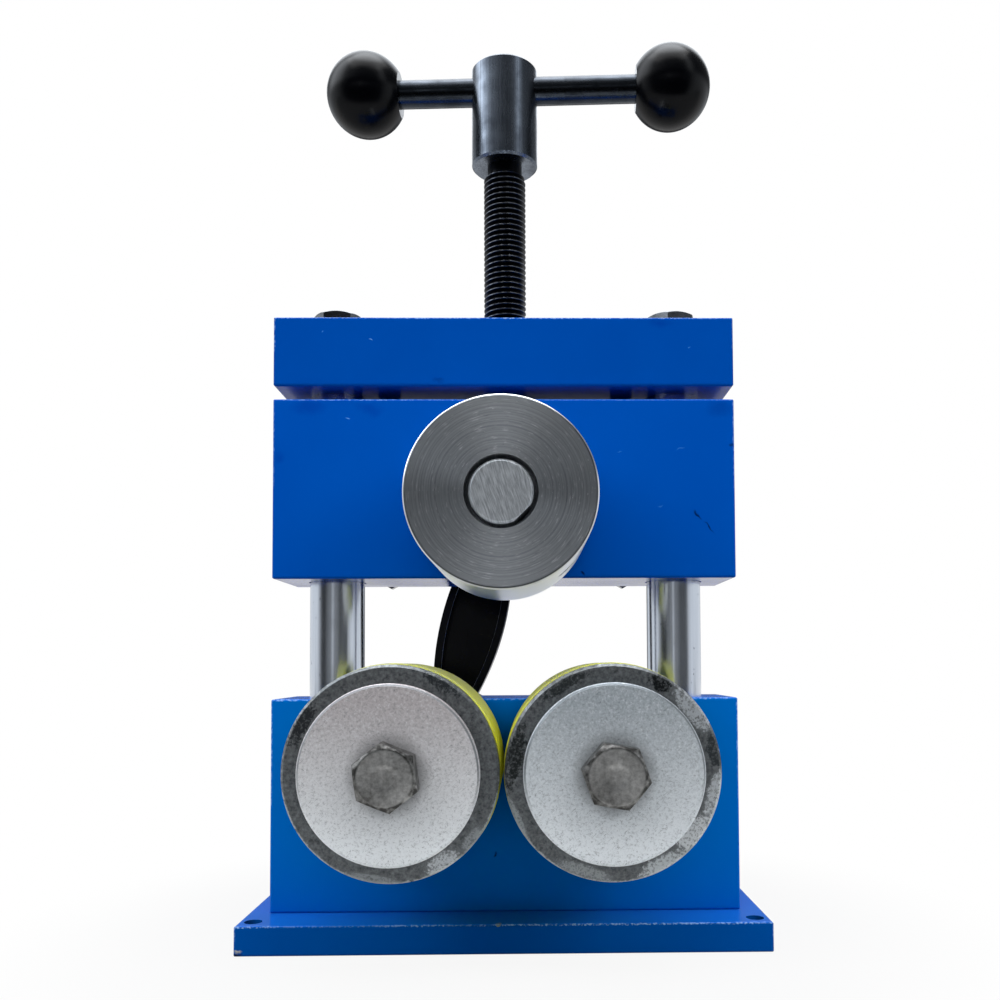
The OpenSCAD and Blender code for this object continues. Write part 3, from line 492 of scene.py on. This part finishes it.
# The tops of the tyres are greyed further as painted shade, under the slider and the upper roller.
TOP_SHADE_FROM, TOP_SHADE_FULL = 0.074, 0.092
height = node(tree, "SeparateXYZ", {0: place})[2]
painted_top_shade = node(tree, "MapRange", {0: height, 1: TOP_SHADE_FROM, 2: TOP_SHADE_FULL, 3: 0.0, 4: 0.7})[0]
dust_and_top_shade = node(tree, "Math", {0: dust_and_top_shade, 1: painted_top_shade}, operation="ADD")[0]
tone = node(tree, "Mix", {0: dust_and_top_shade, 6: tone, 7: linear("#9CA06C")}, data_type="RGBA")[2]
tree.links.new(tone, shader["Base Color"])
bumps = node(tree, "Bump", {"Height": tint, "Strength": 0.05, "Distance": 0.0002})[0]
tree.links.new(bumps, shader["Normal"])
dress(urethane, "left_roller_tyre", "right_roller_tyre")


# Retaining discs: cut from galvanised plate, speckled light grey, with a bright broken edge.
# Each is clamped by its axle bolt in front of a roller. Handling leaves dark flecks and fine scratches.
def galvanised(side, above, below):
    """Hot dipped zinc: fine speckle, and paler towards the lower edge as painted light from below.

    Painted shade darkens the plate round the bolt and along the upper edge, up to a thin bright lip.
    """
    material, tree, shader = finish("galvanised_plate_" + side, Metallic=0.6)
    place = node(tree, "TexCoord")["Object"]
    height = node(tree, "SeparateXYZ", {0: place})[2]
    # Paler towards the lower edge: painted light from below.
    painted_lower_light = node(tree, "MapRange", {0: height, 1: 0.085, 2: 0.042})[0]
    tone = node(tree, "Mix", {0: painted_lower_light, 6: linear(above), 7: linear(below)}, data_type="RGBA")[2]
    speckle = node(tree, "TexNoise", {
        "Vector": place, "Scale": 1 / 0.0007, "Detail": 6.0, "Roughness": 0.85,
    })["Fac"]
    grain = node(tree, "MapRange", {0: speckle, 1: 0.48, 2: 0.34, 3: 0.0, 4: 0.75})[0]
    tone = node(tree, "Mix", {0: grain, 6: tone, 7: linear("#6F7376")}, data_type="RGBA")[2]
    bright = node(tree, "MapRange", {0: speckle, 1: 0.53, 2: 0.66, 3: 0.0, 4: 0.75})[0]
    tone = node(tree, "Mix", {0: bright, 6: tone, 7: linear("#F2F5F7")}, data_type="RGBA")[2]
    scratches = ((0.9, 0.25, 5, "#ECEFF1"), (-0.7, 0.22, 4, "#5F6467"), (0.2, 0.25, 3, "#5F6467"))
    for turn, short, long, colour in scratches:
        scored = node(tree, "Mapping", {
            "Vector": place, "Rotation": (0, turn, 0), "Scale": (long / 1000, 1, short / 1000),
        }, vector_type="TEXTURE")[0]
        scored = node(tree, "TexNoise", {"Vector": scored, "Scale": 1.0, "Detail": 1.0})["Fac"]
        scored = node(tree, "MapRange", {0: scored, 1: 0.68, 2: 0.75, 3: 0.0, 4: 0.6})[0]
        tone = node(tree, "Mix", {0: scored, 6: tone, 7: linear(colour)}, data_type="RGBA")[2]
    low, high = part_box(side + "_retaining_disc")
    outer = (high.x - low.x) / 2
    radius = spoke_from(tree, place, (low + high) / 2)[1]
    # A ring of painted shade round the bolt head.
    grime_and_painted_shade = node(tree, "MapRange", {0: radius, 1: 0.0095, 2: 0.0135, 3: 0.5, 4: 0.0})[0]
    tone = node(tree, "Mix", {0: grime_and_painted_shade, 6: tone, 7: linear("#626365")}, data_type="RGBA")[2]
    # Painted shade on the upper edge, inside a thin lip left bright.
    bevel = node(tree, "MapRange", {0: radius, 1: outer - 0.0009, 2: outer - 0.0007, 3: 0.0, 4: 0.8})[0]
    lip = node(tree, "MapRange", {0: radius, 1: outer - 0.0003, 2: outer - 0.0001, 3: 1.0, 4: 0.0})[0]
    painted_upper_edge_shade = node(tree, "Math", {0: bevel, 1: lip}, operation="MULTIPLY")[0]
    upper = node(tree, "MapRange", {0: height, 1: 0.052, 2: 0.066})[0]
    painted_upper_edge_shade = node(tree, "Math", {0: painted_upper_edge_shade, 1: upper}, operation="MULTIPLY")[0]
    tone = node(tree, "Mix", {0: painted_upper_edge_shade, 6: tone, 7: linear("#5F6468")}, data_type="RGBA")[2]
    tree.links.new(tone, shader["Base Color"])
    worn = node(tree, "MapRange", {0: speckle, 1: 0.3, 2: 0.7, 3: 0.58, 4: 0.44})[0]
    tree.links.new(worn, shader["Roughness"])
    bumps = node(tree, "Bump", {"Height": speckle, "Strength": 0.3, "Distance": 0.00006})[0]
    tree.links.new(bumps, shader["Normal"])
    dress(material, side + "_retaining_disc")


galvanised("left", "#C2BBBC", "#F4F8FA")
galvanised("right", "#ACB4BA", "#F0F5F8")

# Axle bolts: the same forged bolts in plain steel, with grime and painted shade in their head chamfers.
# Each passes through a disc and a sleeve into the lower block.
AXLE_HEAD_Y, CROWN_INSIDE, CROWN_OUTSIDE = -73.9, 0.0079, 0.0085
axle_steel = bare_steel("axle_bolt_steel", "#6E6C68", "#E4E3E0", 0.34, 1.4)
tree = axle_steel.node_tree
shader = tree.nodes["Principled BSDF"].inputs
place = node(tree, "TexCoord")["Object"]
either_side = node(tree, "VectorMath", {0: place}, operation="ABSOLUTE")[0]
radius = spoke_from(tree, either_side, (AXLE_X / 1000, 0, AXLE_Z / 1000))[1]
# The head chamfers are darkened: grime, and painted shade round the head.
grime_and_painted_shade = node(tree, "TexNoise", {"Vector": place, "Scale": 1 / 0.002, "Detail": 4.0})["Fac"]
grime_and_painted_shade = node(tree, "MapRange", {0: grime_and_painted_shade, 1: 0.35, 2: 0.6, 3: 0.45, 4: 0.95})[0]
chamfer = node(tree, "MapRange", {0: radius, 1: CROWN_INSIDE, 2: CROWN_OUTSIDE})[0]
grime_and_painted_shade = node(tree, "Math", {0: grime_and_painted_shade, 1: chamfer}, operation="MULTIPLY")[0]
steel = shader["Base Color"].links[0].from_socket
tone = node(tree, "Mix", {0: grime_and_painted_shade, 6: steel, 7: linear("#343331")}, data_type="RGBA")[2]
tree.links.new(tone, shader["Base Color"])
for side, x, turn in (("left", -AXLE_X, 38), ("right", AXLE_X, 50)):
    bolt = placed(
        hex_bolt(d=12, af=18, head=7.5, length=82.9, turn=turn), (x, AXLE_HEAD_Y, AXLE_Z), "-Y",
    )
    fitted([closed_mesh(side + "_bolt", bolt)], side + "_axle_hex_bolt", side + "_axle_bolt", "frame",
           axle_steel)


# Upper roller: turned steel, left bare, with fine tool marks and broken scratches round its face.
# It is bored for the shaft, and a set screw holds it.
SHAFT_Z, ROLLER_R = 0.149, 0.030
turned, tree, shader = finish("turned_roller_steel", Metallic=0.96, Anisotropic=0.9)
place = node(tree, "TexCoord")["Object"]
spoke, radius = spoke_from(tree, place, (0, 0, SHAFT_Z))
outward = node(tree, "VectorMath", {0: spoke, 1: (0, 0.03, 0)}, operation="ADD")[0]
outward = node(tree, "VectorTransform", {0: outward}, convert_from="OBJECT", convert_to="WORLD")[0]
tree.links.new(outward, shader["Tangent"])
across = node(tree, "SeparateXYZ", {0: spoke})
turn = node(tree, "Math", {0: across[2], 1: across[0]}, operation="ARCTAN2")[0]
rings = node(
    tree, "TexNoise", {"W": radius, "Scale": 1 / 0.0006, "Detail": 4.0}, noise_dimensions="1D",
)["Fac"]
tone = node(tree, "MapRange", {0: rings, 1: 0.3, 2: 0.7})[0]
tone = node(tree, "Mix", {0: tone, 6: linear("#9A9EA3"), 7: linear("#B4B8BC")}, data_type="RGBA")[2]
arcs = node(tree, "CombineXYZ", {
    0: node(tree, "Math", {0: radius, 1: 0.0004}, operation="DIVIDE")[0],
    1: node(tree, "Math", {0: turn, 1: 5.0}, operation="MULTIPLY")[0],
})[0]
arcs = node(tree, "TexNoise", {"Vector": arcs, "Scale": 1.0, "Detail": 3.0})["Fac"]
scratch = node(tree, "MapRange", {0: arcs, 1: 0.6, 2: 0.72, 3: 0.0, 4: 0.55})[0]
tone = node(tree, "Mix", {0: scratch, 6: tone, 7: linear("#F4F6F7")}, data_type="RGBA")[2]
groove = node(tree, "MapRange", {0: arcs, 1: 0.38, 2: 0.28, 3: 0.0, 4: 0.3})[0]
tone = node(tree, "Mix", {0: groove, 6: tone, 7: linear("#3C3F43")}, data_type="RGBA")[2]
dashes = node(tree, "CombineXYZ", {
    0: node(tree, "Math", {0: radius, 1: 0.0005}, operation="DIVIDE")[0],
    1: node(tree, "Math", {0: turn, 1: 16.0}, operation="MULTIPLY")[0],
})[0]
fleck = node(tree, "TexNoise", {"Vector": dashes, "Scale": 1.0, "Detail": 2.0})["Fac"]
fleck = node(tree, "Math", {0: across[0], 1: 2.0, 2: fleck}, operation="MULTIPLY_ADD")[0]
fleck = node(tree, "MapRange", {0: fleck, 1: 0.74, 2: 0.8})[0]
tone = node(tree, "Mix", {0: fleck, 6: tone, 7: linear("#F7F8F9")}, data_type="RGBA")[2]
# A dark band inside the face's outer edge is painted shade, and the bright line at the edge is a painted
# highlight.
bevel = node(tree, "MapRange", {0: radius, 1: ROLLER_R - 0.0009, 2: ROLLER_R - 0.0007})[0]
tone = node(tree, "Mix", {0: bevel, 6: tone, 7: linear("#4E5155")}, data_type="RGBA")[2]
rim = node(tree, "MapRange", {0: radius, 1: ROLLER_R - 0.0005, 2: ROLLER_R - 0.0003})[0]
tone = node(tree, "Mix", {0: rim, 6: tone, 7: linear("#F2F4F5")}, data_type="RGBA")[2]
tree.links.new(tone, shader["Base Color"])
worn = node(tree, "MapRange", {0: rings, 1: 0.3, 2: 0.7, 3: 0.38, 4: 0.46})[0]
worn = node(tree, "Mix", {0: rim, 2: worn, 3: 0.3})[0]
tree.links.new(worn, shader["Roughness"])
bumps = node(tree, "Bump", {"Height": arcs, "Strength": 0.08, "Distance": 0.00004})[0]
tree.links.new(bumps, shader["Normal"])
dress(turned, "upper_roller")

# Roller shaft: bright steel bar, with a sawn end that shows in the roller's bore.
# It turns in two bushes in the slider and carries the crank at the back.
sawn, tree, shader = finish("sawn_shaft_steel", Metallic=0.85)
place = node(tree, "TexCoord")["Object"]
bowed = node(tree, "TexNoise", {"Vector": place, "Scale": 1 / 0.012, "Detail": 1.0})["Color"]
bowed = node(tree, "VectorMath", {0: bowed, 1: (0.0015, 0, 0), 2: place}, operation="MULTIPLY_ADD")[0]
strokes = node(tree, "Mapping", {
    "Vector": bowed, "Rotation": (0, -0.3, 0), "Scale": (0.0005, 1, 0.0045),
}, vector_type="TEXTURE")[0]
strokes = node(tree, "TexNoise", {"Vector": strokes, "Scale": 1.0, "Detail": 4.0, "Roughness": 0.65})["Fac"]
tone = node(tree, "MapRange", {0: strokes, 1: 0.32, 2: 0.68})[0]
tone = node(tree, "Mix", {0: tone, 6: linear("#9DA3A9"), 7: linear("#E2E6EA")}, data_type="RGBA")[2]
tree.links.new(tone, shader["Base Color"])
worn = node(tree, "MapRange", {0: strokes, 1: 0.3, 2: 0.7, 3: 0.36, 4: 0.52})[0]
tree.links.new(worn, shader["Roughness"])
bumps = node(tree, "Bump", {"Height": strokes, "Strength": 0.2, "Distance": 0.00005})[0]
tree.links.new(bumps, shader["Normal"])
dress(sawn, "roller_shaft")

# Crank: glossy black moulding, hollow on the front side, with a black grip that turns on a spindle.
# A bolt and a washer hold it on the end of the roller shaft.
moulded, tree, shader = finish("black_moulded_nylon", IOR=1.5, Specular_IOR_Level=0.12)
place = node(tree, "TexCoord")["Object"]
skin = node(tree, "TexNoise", {"Vector": place, "Scale": 1 / 0.0008, "Detail": 2.0})["Fac"]
flow = node(tree, "TexNoise", {"Vector": place, "Scale": 1 / 0.015, "Detail": 3.0})["Fac"]
tone = node(tree, "Mix", {0: flow, 6: linear("#050609"), 7: linear("#0C0D11")}, data_type="RGBA")[2]
# A pale line along the front rims of the flanges is a painted highlight.
CRANK_FRONT, CRANK_HIGHLIGHT_END = 0.0343, 0.0363
back = node(tree, "SeparateXYZ", {0: place})[1]
rim = node(tree, "MapRange", {0: back, 1: CRANK_FRONT, 2: CRANK_HIGHLIGHT_END, 3: 1.0, 4: 0.0})[0]
facing = node(tree, "SeparateXYZ", {0: node(tree, "TexCoord")["Normal"]})[1]
rounded = node(tree, "MapRange", {0: facing, 1: -0.98, 2: -0.88})[0]
rubbed_and_highlight = node(tree, "Math", {0: rim, 1: rounded}, operation="MULTIPLY")[0]
tone = node(tree, "Mix", {0: rubbed_and_highlight, 6: tone, 7: linear("#B4B7BC")}, data_type="RGBA")[2]
tree.links.new(tone, shader["Base Color"])
gloss = node(tree, "MapRange", {0: flow, 1: 0.3, 2: 0.7, 3: 0.16, 4: 0.24})[0]
tree.links.new(gloss, shader["Roughness"])
bumps = node(tree, "Bump", {"Height": skin, "Strength": 0.08, "Distance": 0.00004})[0]
tree.links.new(bumps, shader["Normal"])
dress(moulded, "crank_grip")
crank_mesh = nodes["crank_arm"].data.copy()
shell = bmesh.new()
shell.from_mesh(crank_mesh)
bmesh.ops.remove_doubles(shell, verts=shell.verts, dist=0.00001)
bmesh.ops.dissolve_limit(shell, angle_limit=math.radians(1), verts=shell.verts, edges=shell.edges)
shell.to_mesh(crank_mesh)
shell.free()
crank_mesh.polygons.foreach_set("use_smooth", np.ones(len(crank_mesh.polygons), bool))
crank_mesh.set_sharp_from_angle(angle=SHARP)
fitted([crank_mesh], "moulded_crank", "crank_arm", "drive", moulded, soften=0.9)
CRANK_BOLT_Y, CRANK_TURN = 53.3, 14.7
crank_bolt = placed(
    hex_bolt(d=8, af=13, head=5.3, length=21.9, turn=CRANK_TURN), (0, CRANK_BOLT_Y, 1000 * SHAFT_Z), "Y",
)
fitted([closed_mesh("crank_bolt", crank_bolt)], "crank_hex_bolt", "crank_bolt", "drive",
       dull_bolt)


# Feed screw: rolled M16 thread on steel, blacked and oiled, with a painted highlight along the crests.
# A collar at its foot turns in the slider, and a stub at its top stands in the tee hub.
def feed_screw():
    """Rings in mm from the collar up. In the thread r = root + depth * ridge(z / pitch - angle / turn).

    The ridge is a triangle wave with its crest and root cut flat, and it fades out at both ends.
    below and above are the plain ends, as radius and height.
    """
    angle = np.linspace(0, 2 * np.pi, 64, endpoint=False)
    pitch, crest, root, low, high = 2.0, 7.9, 6.75, 192.0, 281.7
    below = np.array([
        [0.5, 179.4], [8.0, 179.4], [8.5, 179.9], [8.5, 184.9], [8.0, 185.4], [5.5, 185.4], [5.5, 192.0],
    ])
    above = np.array([[6.5, 281.9], [6.5, 285.2], [6.0, 285.2], [6.0, 306.7], [5.5, 307.2]])
    height = np.linspace(low, high, 720)[:, None]
    phase = np.mod(height / pitch - angle[None] / (2 * np.pi), 1.0)
    ridge = np.clip((1 - np.abs(2 * phase - 1)) * 1.4 - 0.2, 0, 1)
    fade = np.clip(np.minimum(height - low, high - height) / 1.2, 0, 1)
    thread = root + (crest - root) * ridge * fade
    full = np.ones_like(angle)
    radius = np.concatenate([below[:, :1] * full, thread, above[:, :1] * full])
    level = np.concatenate([below[:, 1:] * full, height * full, above[:, 1:] * full])
    return np.stack([radius * np.cos(angle), radius * np.sin(angle), level], axis=-1)


screw_steel = black_oxide("blacked_screw_steel", "#0E0F12", "#1C1E22", 0.36, (0.7, 0.7, 0.7))
tree = screw_steel.node_tree
shader = tree.nodes["Principled BSDF"].inputs
CREST_FROM, CREST_R = 0.0078, 0.0079
place = node(tree, "TexCoord")["Object"]
off_axis = node(tree, "VectorMath", {0: place, 1: (1, 1, 0)}, operation="MULTIPLY")[0]
off_axis = node(tree, "VectorMath", {0: off_axis}, operation="LENGTH")["Value"]
# The crests are mixed towards pale grey: a painted highlight.
crest = node(tree, "MapRange", {0: off_axis, 1: CREST_FROM, 2: CREST_R, 3: 0.0, 4: 0.5})[0]
dark = shader["Base Color"].links[0].from_socket
tone = node(tree, "Mix", {0: crest, 6: dark, 7: linear("#9297A0")}, data_type="RGBA")[2]
tree.links.new(tone, shader["Base Color"])
fitted([closed_mesh("feed_screw", placed(feed_screw(), (0, 0, 0), "Z"))], "threaded_feed_screw", "feed_screw",
       "screw", screw_steel)

# Tee handle: turned hub and bar in black oxide steel, with two phenolic balls screwed on the bar.
# The bar slides through the hub until a ball stops it.
dress(black_oxide("blacked_hub_steel", "#4A5059", "#767E89", 0.27, (0.5, 0.5, 30)), "tee_hub")
dress(black_oxide("blacked_bar_steel", "#2A2E34", "#464B52", 0.27, (30, 0.5, 0.5)), "tommy_bar")
phenolic, tree, shader = finish("black_phenolic", IOR=1.5, Specular_IOR_Level=0.14)
place = node(tree, "TexCoord")["Object"]
flow = node(tree, "TexNoise", {"Vector": place, "Scale": 1 / 0.009, "Detail": 3.0})["Fac"]
tone = node(tree, "Mix", {0: flow, 6: linear("#010103"), 7: linear("#020305")}, data_type="RGBA")[2]
tree.links.new(tone, shader["Base Color"])
gloss = node(tree, "MapRange", {0: flow, 1: 0.3, 2: 0.7, 3: 0.22, 4: 0.27})[0]
tree.links.new(gloss, shader["Roughness"])
dress(phenolic, "left_ball_knob", "right_ball_knob")


# Studio: a white sweep for a floor, in a room that is white at the sides, dim in front and dark low behind.
# One softbox hangs overhead, one in front of it and one at each side. Only the first shows in the metal,
# which otherwise mirrors the room: low, high, and a band of lamps level with the rods.
world = bpy.data.worlds.new("studio")
bpy.context.scene.world = world
world.use_nodes = True
tree = world.node_tree
ray = node(tree, "LightPath")
heading = node(tree, "TexCoord")["Generated"]
toward = node(tree, "SeparateXYZ", {0: heading})
front = node(tree, "Math", {0: toward[1], 1: -1.0}, operation="MULTIPLY")[0]
bearing = node(tree, "Math", {0: toward[0], 1: front}, operation="ARCTAN2")[0]
bearing = node(tree, "MapRange", {0: bearing, 1: -math.pi, 2: math.pi})[0]
low = (
    (-180, 0.1), (-165, 0.15), (-148, 0.95), (-84, 1.0), (-74, 0.6), (-60, 0.08), (-46, 0.006), (47, 0.006),
    (57, 0.6), (70, 0.95), (148, 0.95), (165, 0.15), (180, 0.1),
)
high = (
    (-180, 0.15), (-125, 0.4), (-100, 4.0), (-74, 4.0), (-56, 0.8), (-20, 0.25), (10, 0.12), (38, 0.15),
    (46, 1.5), (55, 1.5), (64, 0.12), (180, 0.15),
)
level_with_rods = (
    (-180, 0.0), (-72, 0.05), (-42, 0.07), (-34, 0.22), (-22, 0.32), (-14, 0.38), (-12, 0.8), (-7, 0.8),
    (-5, 0.38), (8, 0.32), (18, 0.15), (44, 0.15), (50, 0.0), (180, 0.0),
)
walls = []
for levels in (low, high, level_with_rods):
    walls.append(node(tree, "ValToRGB", {0: bearing})[0])
    stops = tree.nodes[-1].color_ramp.elements
    stops[0].color = [levels[0][1]] * 3 + [1]
    stops[1].color = [levels[-1][1]] * 3 + [1]
    for degrees, bright in levels[1:-1]:
        stops.new((degrees + 180) / 360).color = (bright, bright, bright, 1)
steep = node(tree, "MapRange", {0: toward[2], 1: 0.25, 2: 0.45}, interpolation_type="SMOOTHSTEP")[0]
room = node(tree, "Mix", {0: steep, 2: walls[0], 3: walls[1]})[0]
ceiling = node(
    tree, "MapRange", {0: toward[2], 1: 0.90, 2: 0.97, 3: 0.0, 4: 5.5}, interpolation_type="SMOOTHSTEP",
)[0]
room = node(tree, "Math", {0: room, 1: ceiling}, operation="MAXIMUM")[0]
rear = node(tree, "VectorMath", {0: heading, 1: (0, 0.6, 0.8)}, operation="DOT_PRODUCT")["Value"]
rear = node(
    tree, "MapRange", {0: rear, 1: 0.8, 2: 0.93, 3: 0.0, 4: 2.5}, interpolation_type="SMOOTHSTEP",
)[0]
room = node(tree, "Math", {0: room, 1: rear}, operation="MAXIMUM")[0]
height = node(tree, "Math", {0: toward[2], 1: 0.03}, operation="SUBTRACT")[0]
height = node(tree, "Math", {0: height}, operation="ABSOLUTE")[0]
height = node(tree, "MapRange", {0: height, 1: 0.07, 2: 0.1, 3: 1.0, 4: 0.0})[0]
lamps = node(tree, "Math", {0: walls[2], 1: height}, operation="MULTIPLY")[0]
room = node(tree, "Math", {0: room, 1: lamps}, operation="MAXIMUM")[0]
mirrored = node(
    tree, "Math", {0: ray["Is Glossy Ray"], 1: ray["Is Transmission Ray"]}, operation="MAXIMUM",
)[0]
AMBIENT = 0.42
level = node(tree, "Mix", {0: mirrored, 2: AMBIENT, 3: room})[0]
level = node(tree, "Mix", {0: ray["Is Camera Ray"], 2: level, 3: 1.0})[0]
tree.links.new(level, tree.nodes["Background"].inputs["Strength"])
cool = node(
    tree, "Mix", {0: ray["Is Camera Ray"], 6: linear("#F4F9FF"), 7: linear("#FFFFFF")}, data_type="RGBA",
)[2]
tree.links.new(cool, tree.nodes["Background"].inputs["Color"])

FLOOR_FRONT, FLOOR_BACK, FLOOR_SIDE = -0.28, 4.0, 4.0
floor_mesh = bpy.data.meshes.new("floor")
corners = [
    (-FLOOR_SIDE, FLOOR_FRONT, 0), (FLOOR_SIDE, FLOOR_FRONT, 0),
    (FLOOR_SIDE, FLOOR_BACK, 0), (-FLOOR_SIDE, FLOOR_BACK, 0),
]
floor_mesh.from_pydata(corners, [], [[0, 1, 2, 3]])
floor = bpy.data.objects.new("floor", floor_mesh)
bpy.context.scene.collection.objects.link(floor)
white, tree, shader = finish("white_sweep", Roughness=0.9, Base_Color=linear("#B4B5B6"))
ray = node(tree, "LightPath")
place = node(tree, "TexCoord")["Object"]
far = node(tree, "VectorMath", {0: place}, operation="LENGTH")["Value"]
far = node(
    tree, "MapRange", {0: far, 1: 0.1, 2: 0.2, 3: 0.9, 4: 1.0}, interpolation_type="SMOOTHSTEP",
)[0]
looked = node(
    tree, "Math", {0: ray["Is Glossy Ray"], 1: ray["Is Transmission Ray"]}, operation="MAXIMUM",
)[0]
depth = node(tree, "SeparateXYZ", {0: place})[1]
near = node(
    tree, "MapRange", {0: depth, 1: 0.1, 2: 0.5, 3: 0.2, 4: 1.0}, interpolation_type="SMOOTHSTEP",
)[0]
looked = node(tree, "Math", {0: looked, 1: near}, operation="MULTIPLY")[0]
looked = node(tree, "Math", {0: looked, 1: ray["Is Camera Ray"]}, operation="MAXIMUM")[0]
seen = node(tree, "Math", {0: far, 1: looked}, operation="MULTIPLY")[0]
glow = node(tree, "Emission", {"Color": (1, 1, 1, 1), "Strength": 1.0})[0]
mixed = node(tree, "MixShader", {0: seen, 1: tree.nodes["Principled BSDF"].outputs[0], 2: glow})[0]
tree.links.new(mixed, tree.nodes["Material Output"].inputs["Surface"])
floor_mesh.materials.append(white)

LOOK_AT = np.array([0, 0, 0.13])
for name, spot, size, watts, mirrored in (
    ("overhead_softbox", (0, -0.3, 1.35), (1.3, 0.9), 8, True),
    ("front_softbox", (0, -0.5, 1.0), (1.2, 0.4), 3, False),
    ("left_softbox", (-0.65, -0.55, 0.65), (0.5, 0.5), 4, False),
    ("right_softbox", (0.65, -0.55, 0.65), (0.5, 0.5), 4, False),
):
    lamp = bpy.data.lights.new(name, "AREA")
    lamp.shape = "RECTANGLE"
    lamp.size, lamp.size_y = size
    lamp.energy = watts
    light = bpy.data.objects.new(name, lamp)
    bpy.context.scene.collection.objects.link(light)
    light.visible_glossy = mirrored
    back = np.array(spot) - LOOK_AT
    back /= np.linalg.norm(back)
    right = np.cross([0, 0, 1], back)
    right /= np.linalg.norm(right)
    up = np.cross(back, right)
    light.matrix_world = Matrix([*zip(right, up, back, spot), (0, 0, 0, 1)])

# Camera: level with the lower rollers, square to the front and tilted up a little.
# The picture is 1000 x 1000, with its optical centre low and right of the middle.
PICTURE, SENSOR, FOCUS, CENTRE_X, CENTRE_Y = 1000, 36, 978.76, 541.275, 624.407
pitch, yaw, roll = np.radians([2.402, 0.907, -0.258])
ahead = np.array([math.sin(yaw) * math.cos(pitch), math.cos(yaw) * math.cos(pitch), math.sin(pitch)])
level_right = np.array([math.cos(yaw), -math.sin(yaw), 0])
level_up = np.cross(level_right, ahead)
right = level_right * math.cos(roll) + level_up * math.sin(roll)
up = level_up * math.cos(roll) - level_right * math.sin(roll)
eye = (0.007385, -0.365822, 0.096053)
lens = bpy.data.cameras.new("camera")
lens.sensor_width = SENSOR
lens.lens = SENSOR * FOCUS / PICTURE
lens.shift_x = (PICTURE / 2 - CENTRE_X) / PICTURE
lens.shift_y = (CENTRE_Y - PICTURE / 2) / PICTURE
lens.clip_start = 0.01
camera = bpy.data.objects.new("camera", lens)
bpy.context.scene.collection.objects.link(camera)
camera.matrix_world = Matrix([*zip(right, up, -ahead, eye), (0, 0, 0, 1)])
bpy.context.scene.camera = camera
bpy.context.scene.view_settings.view_transform = "Standard"
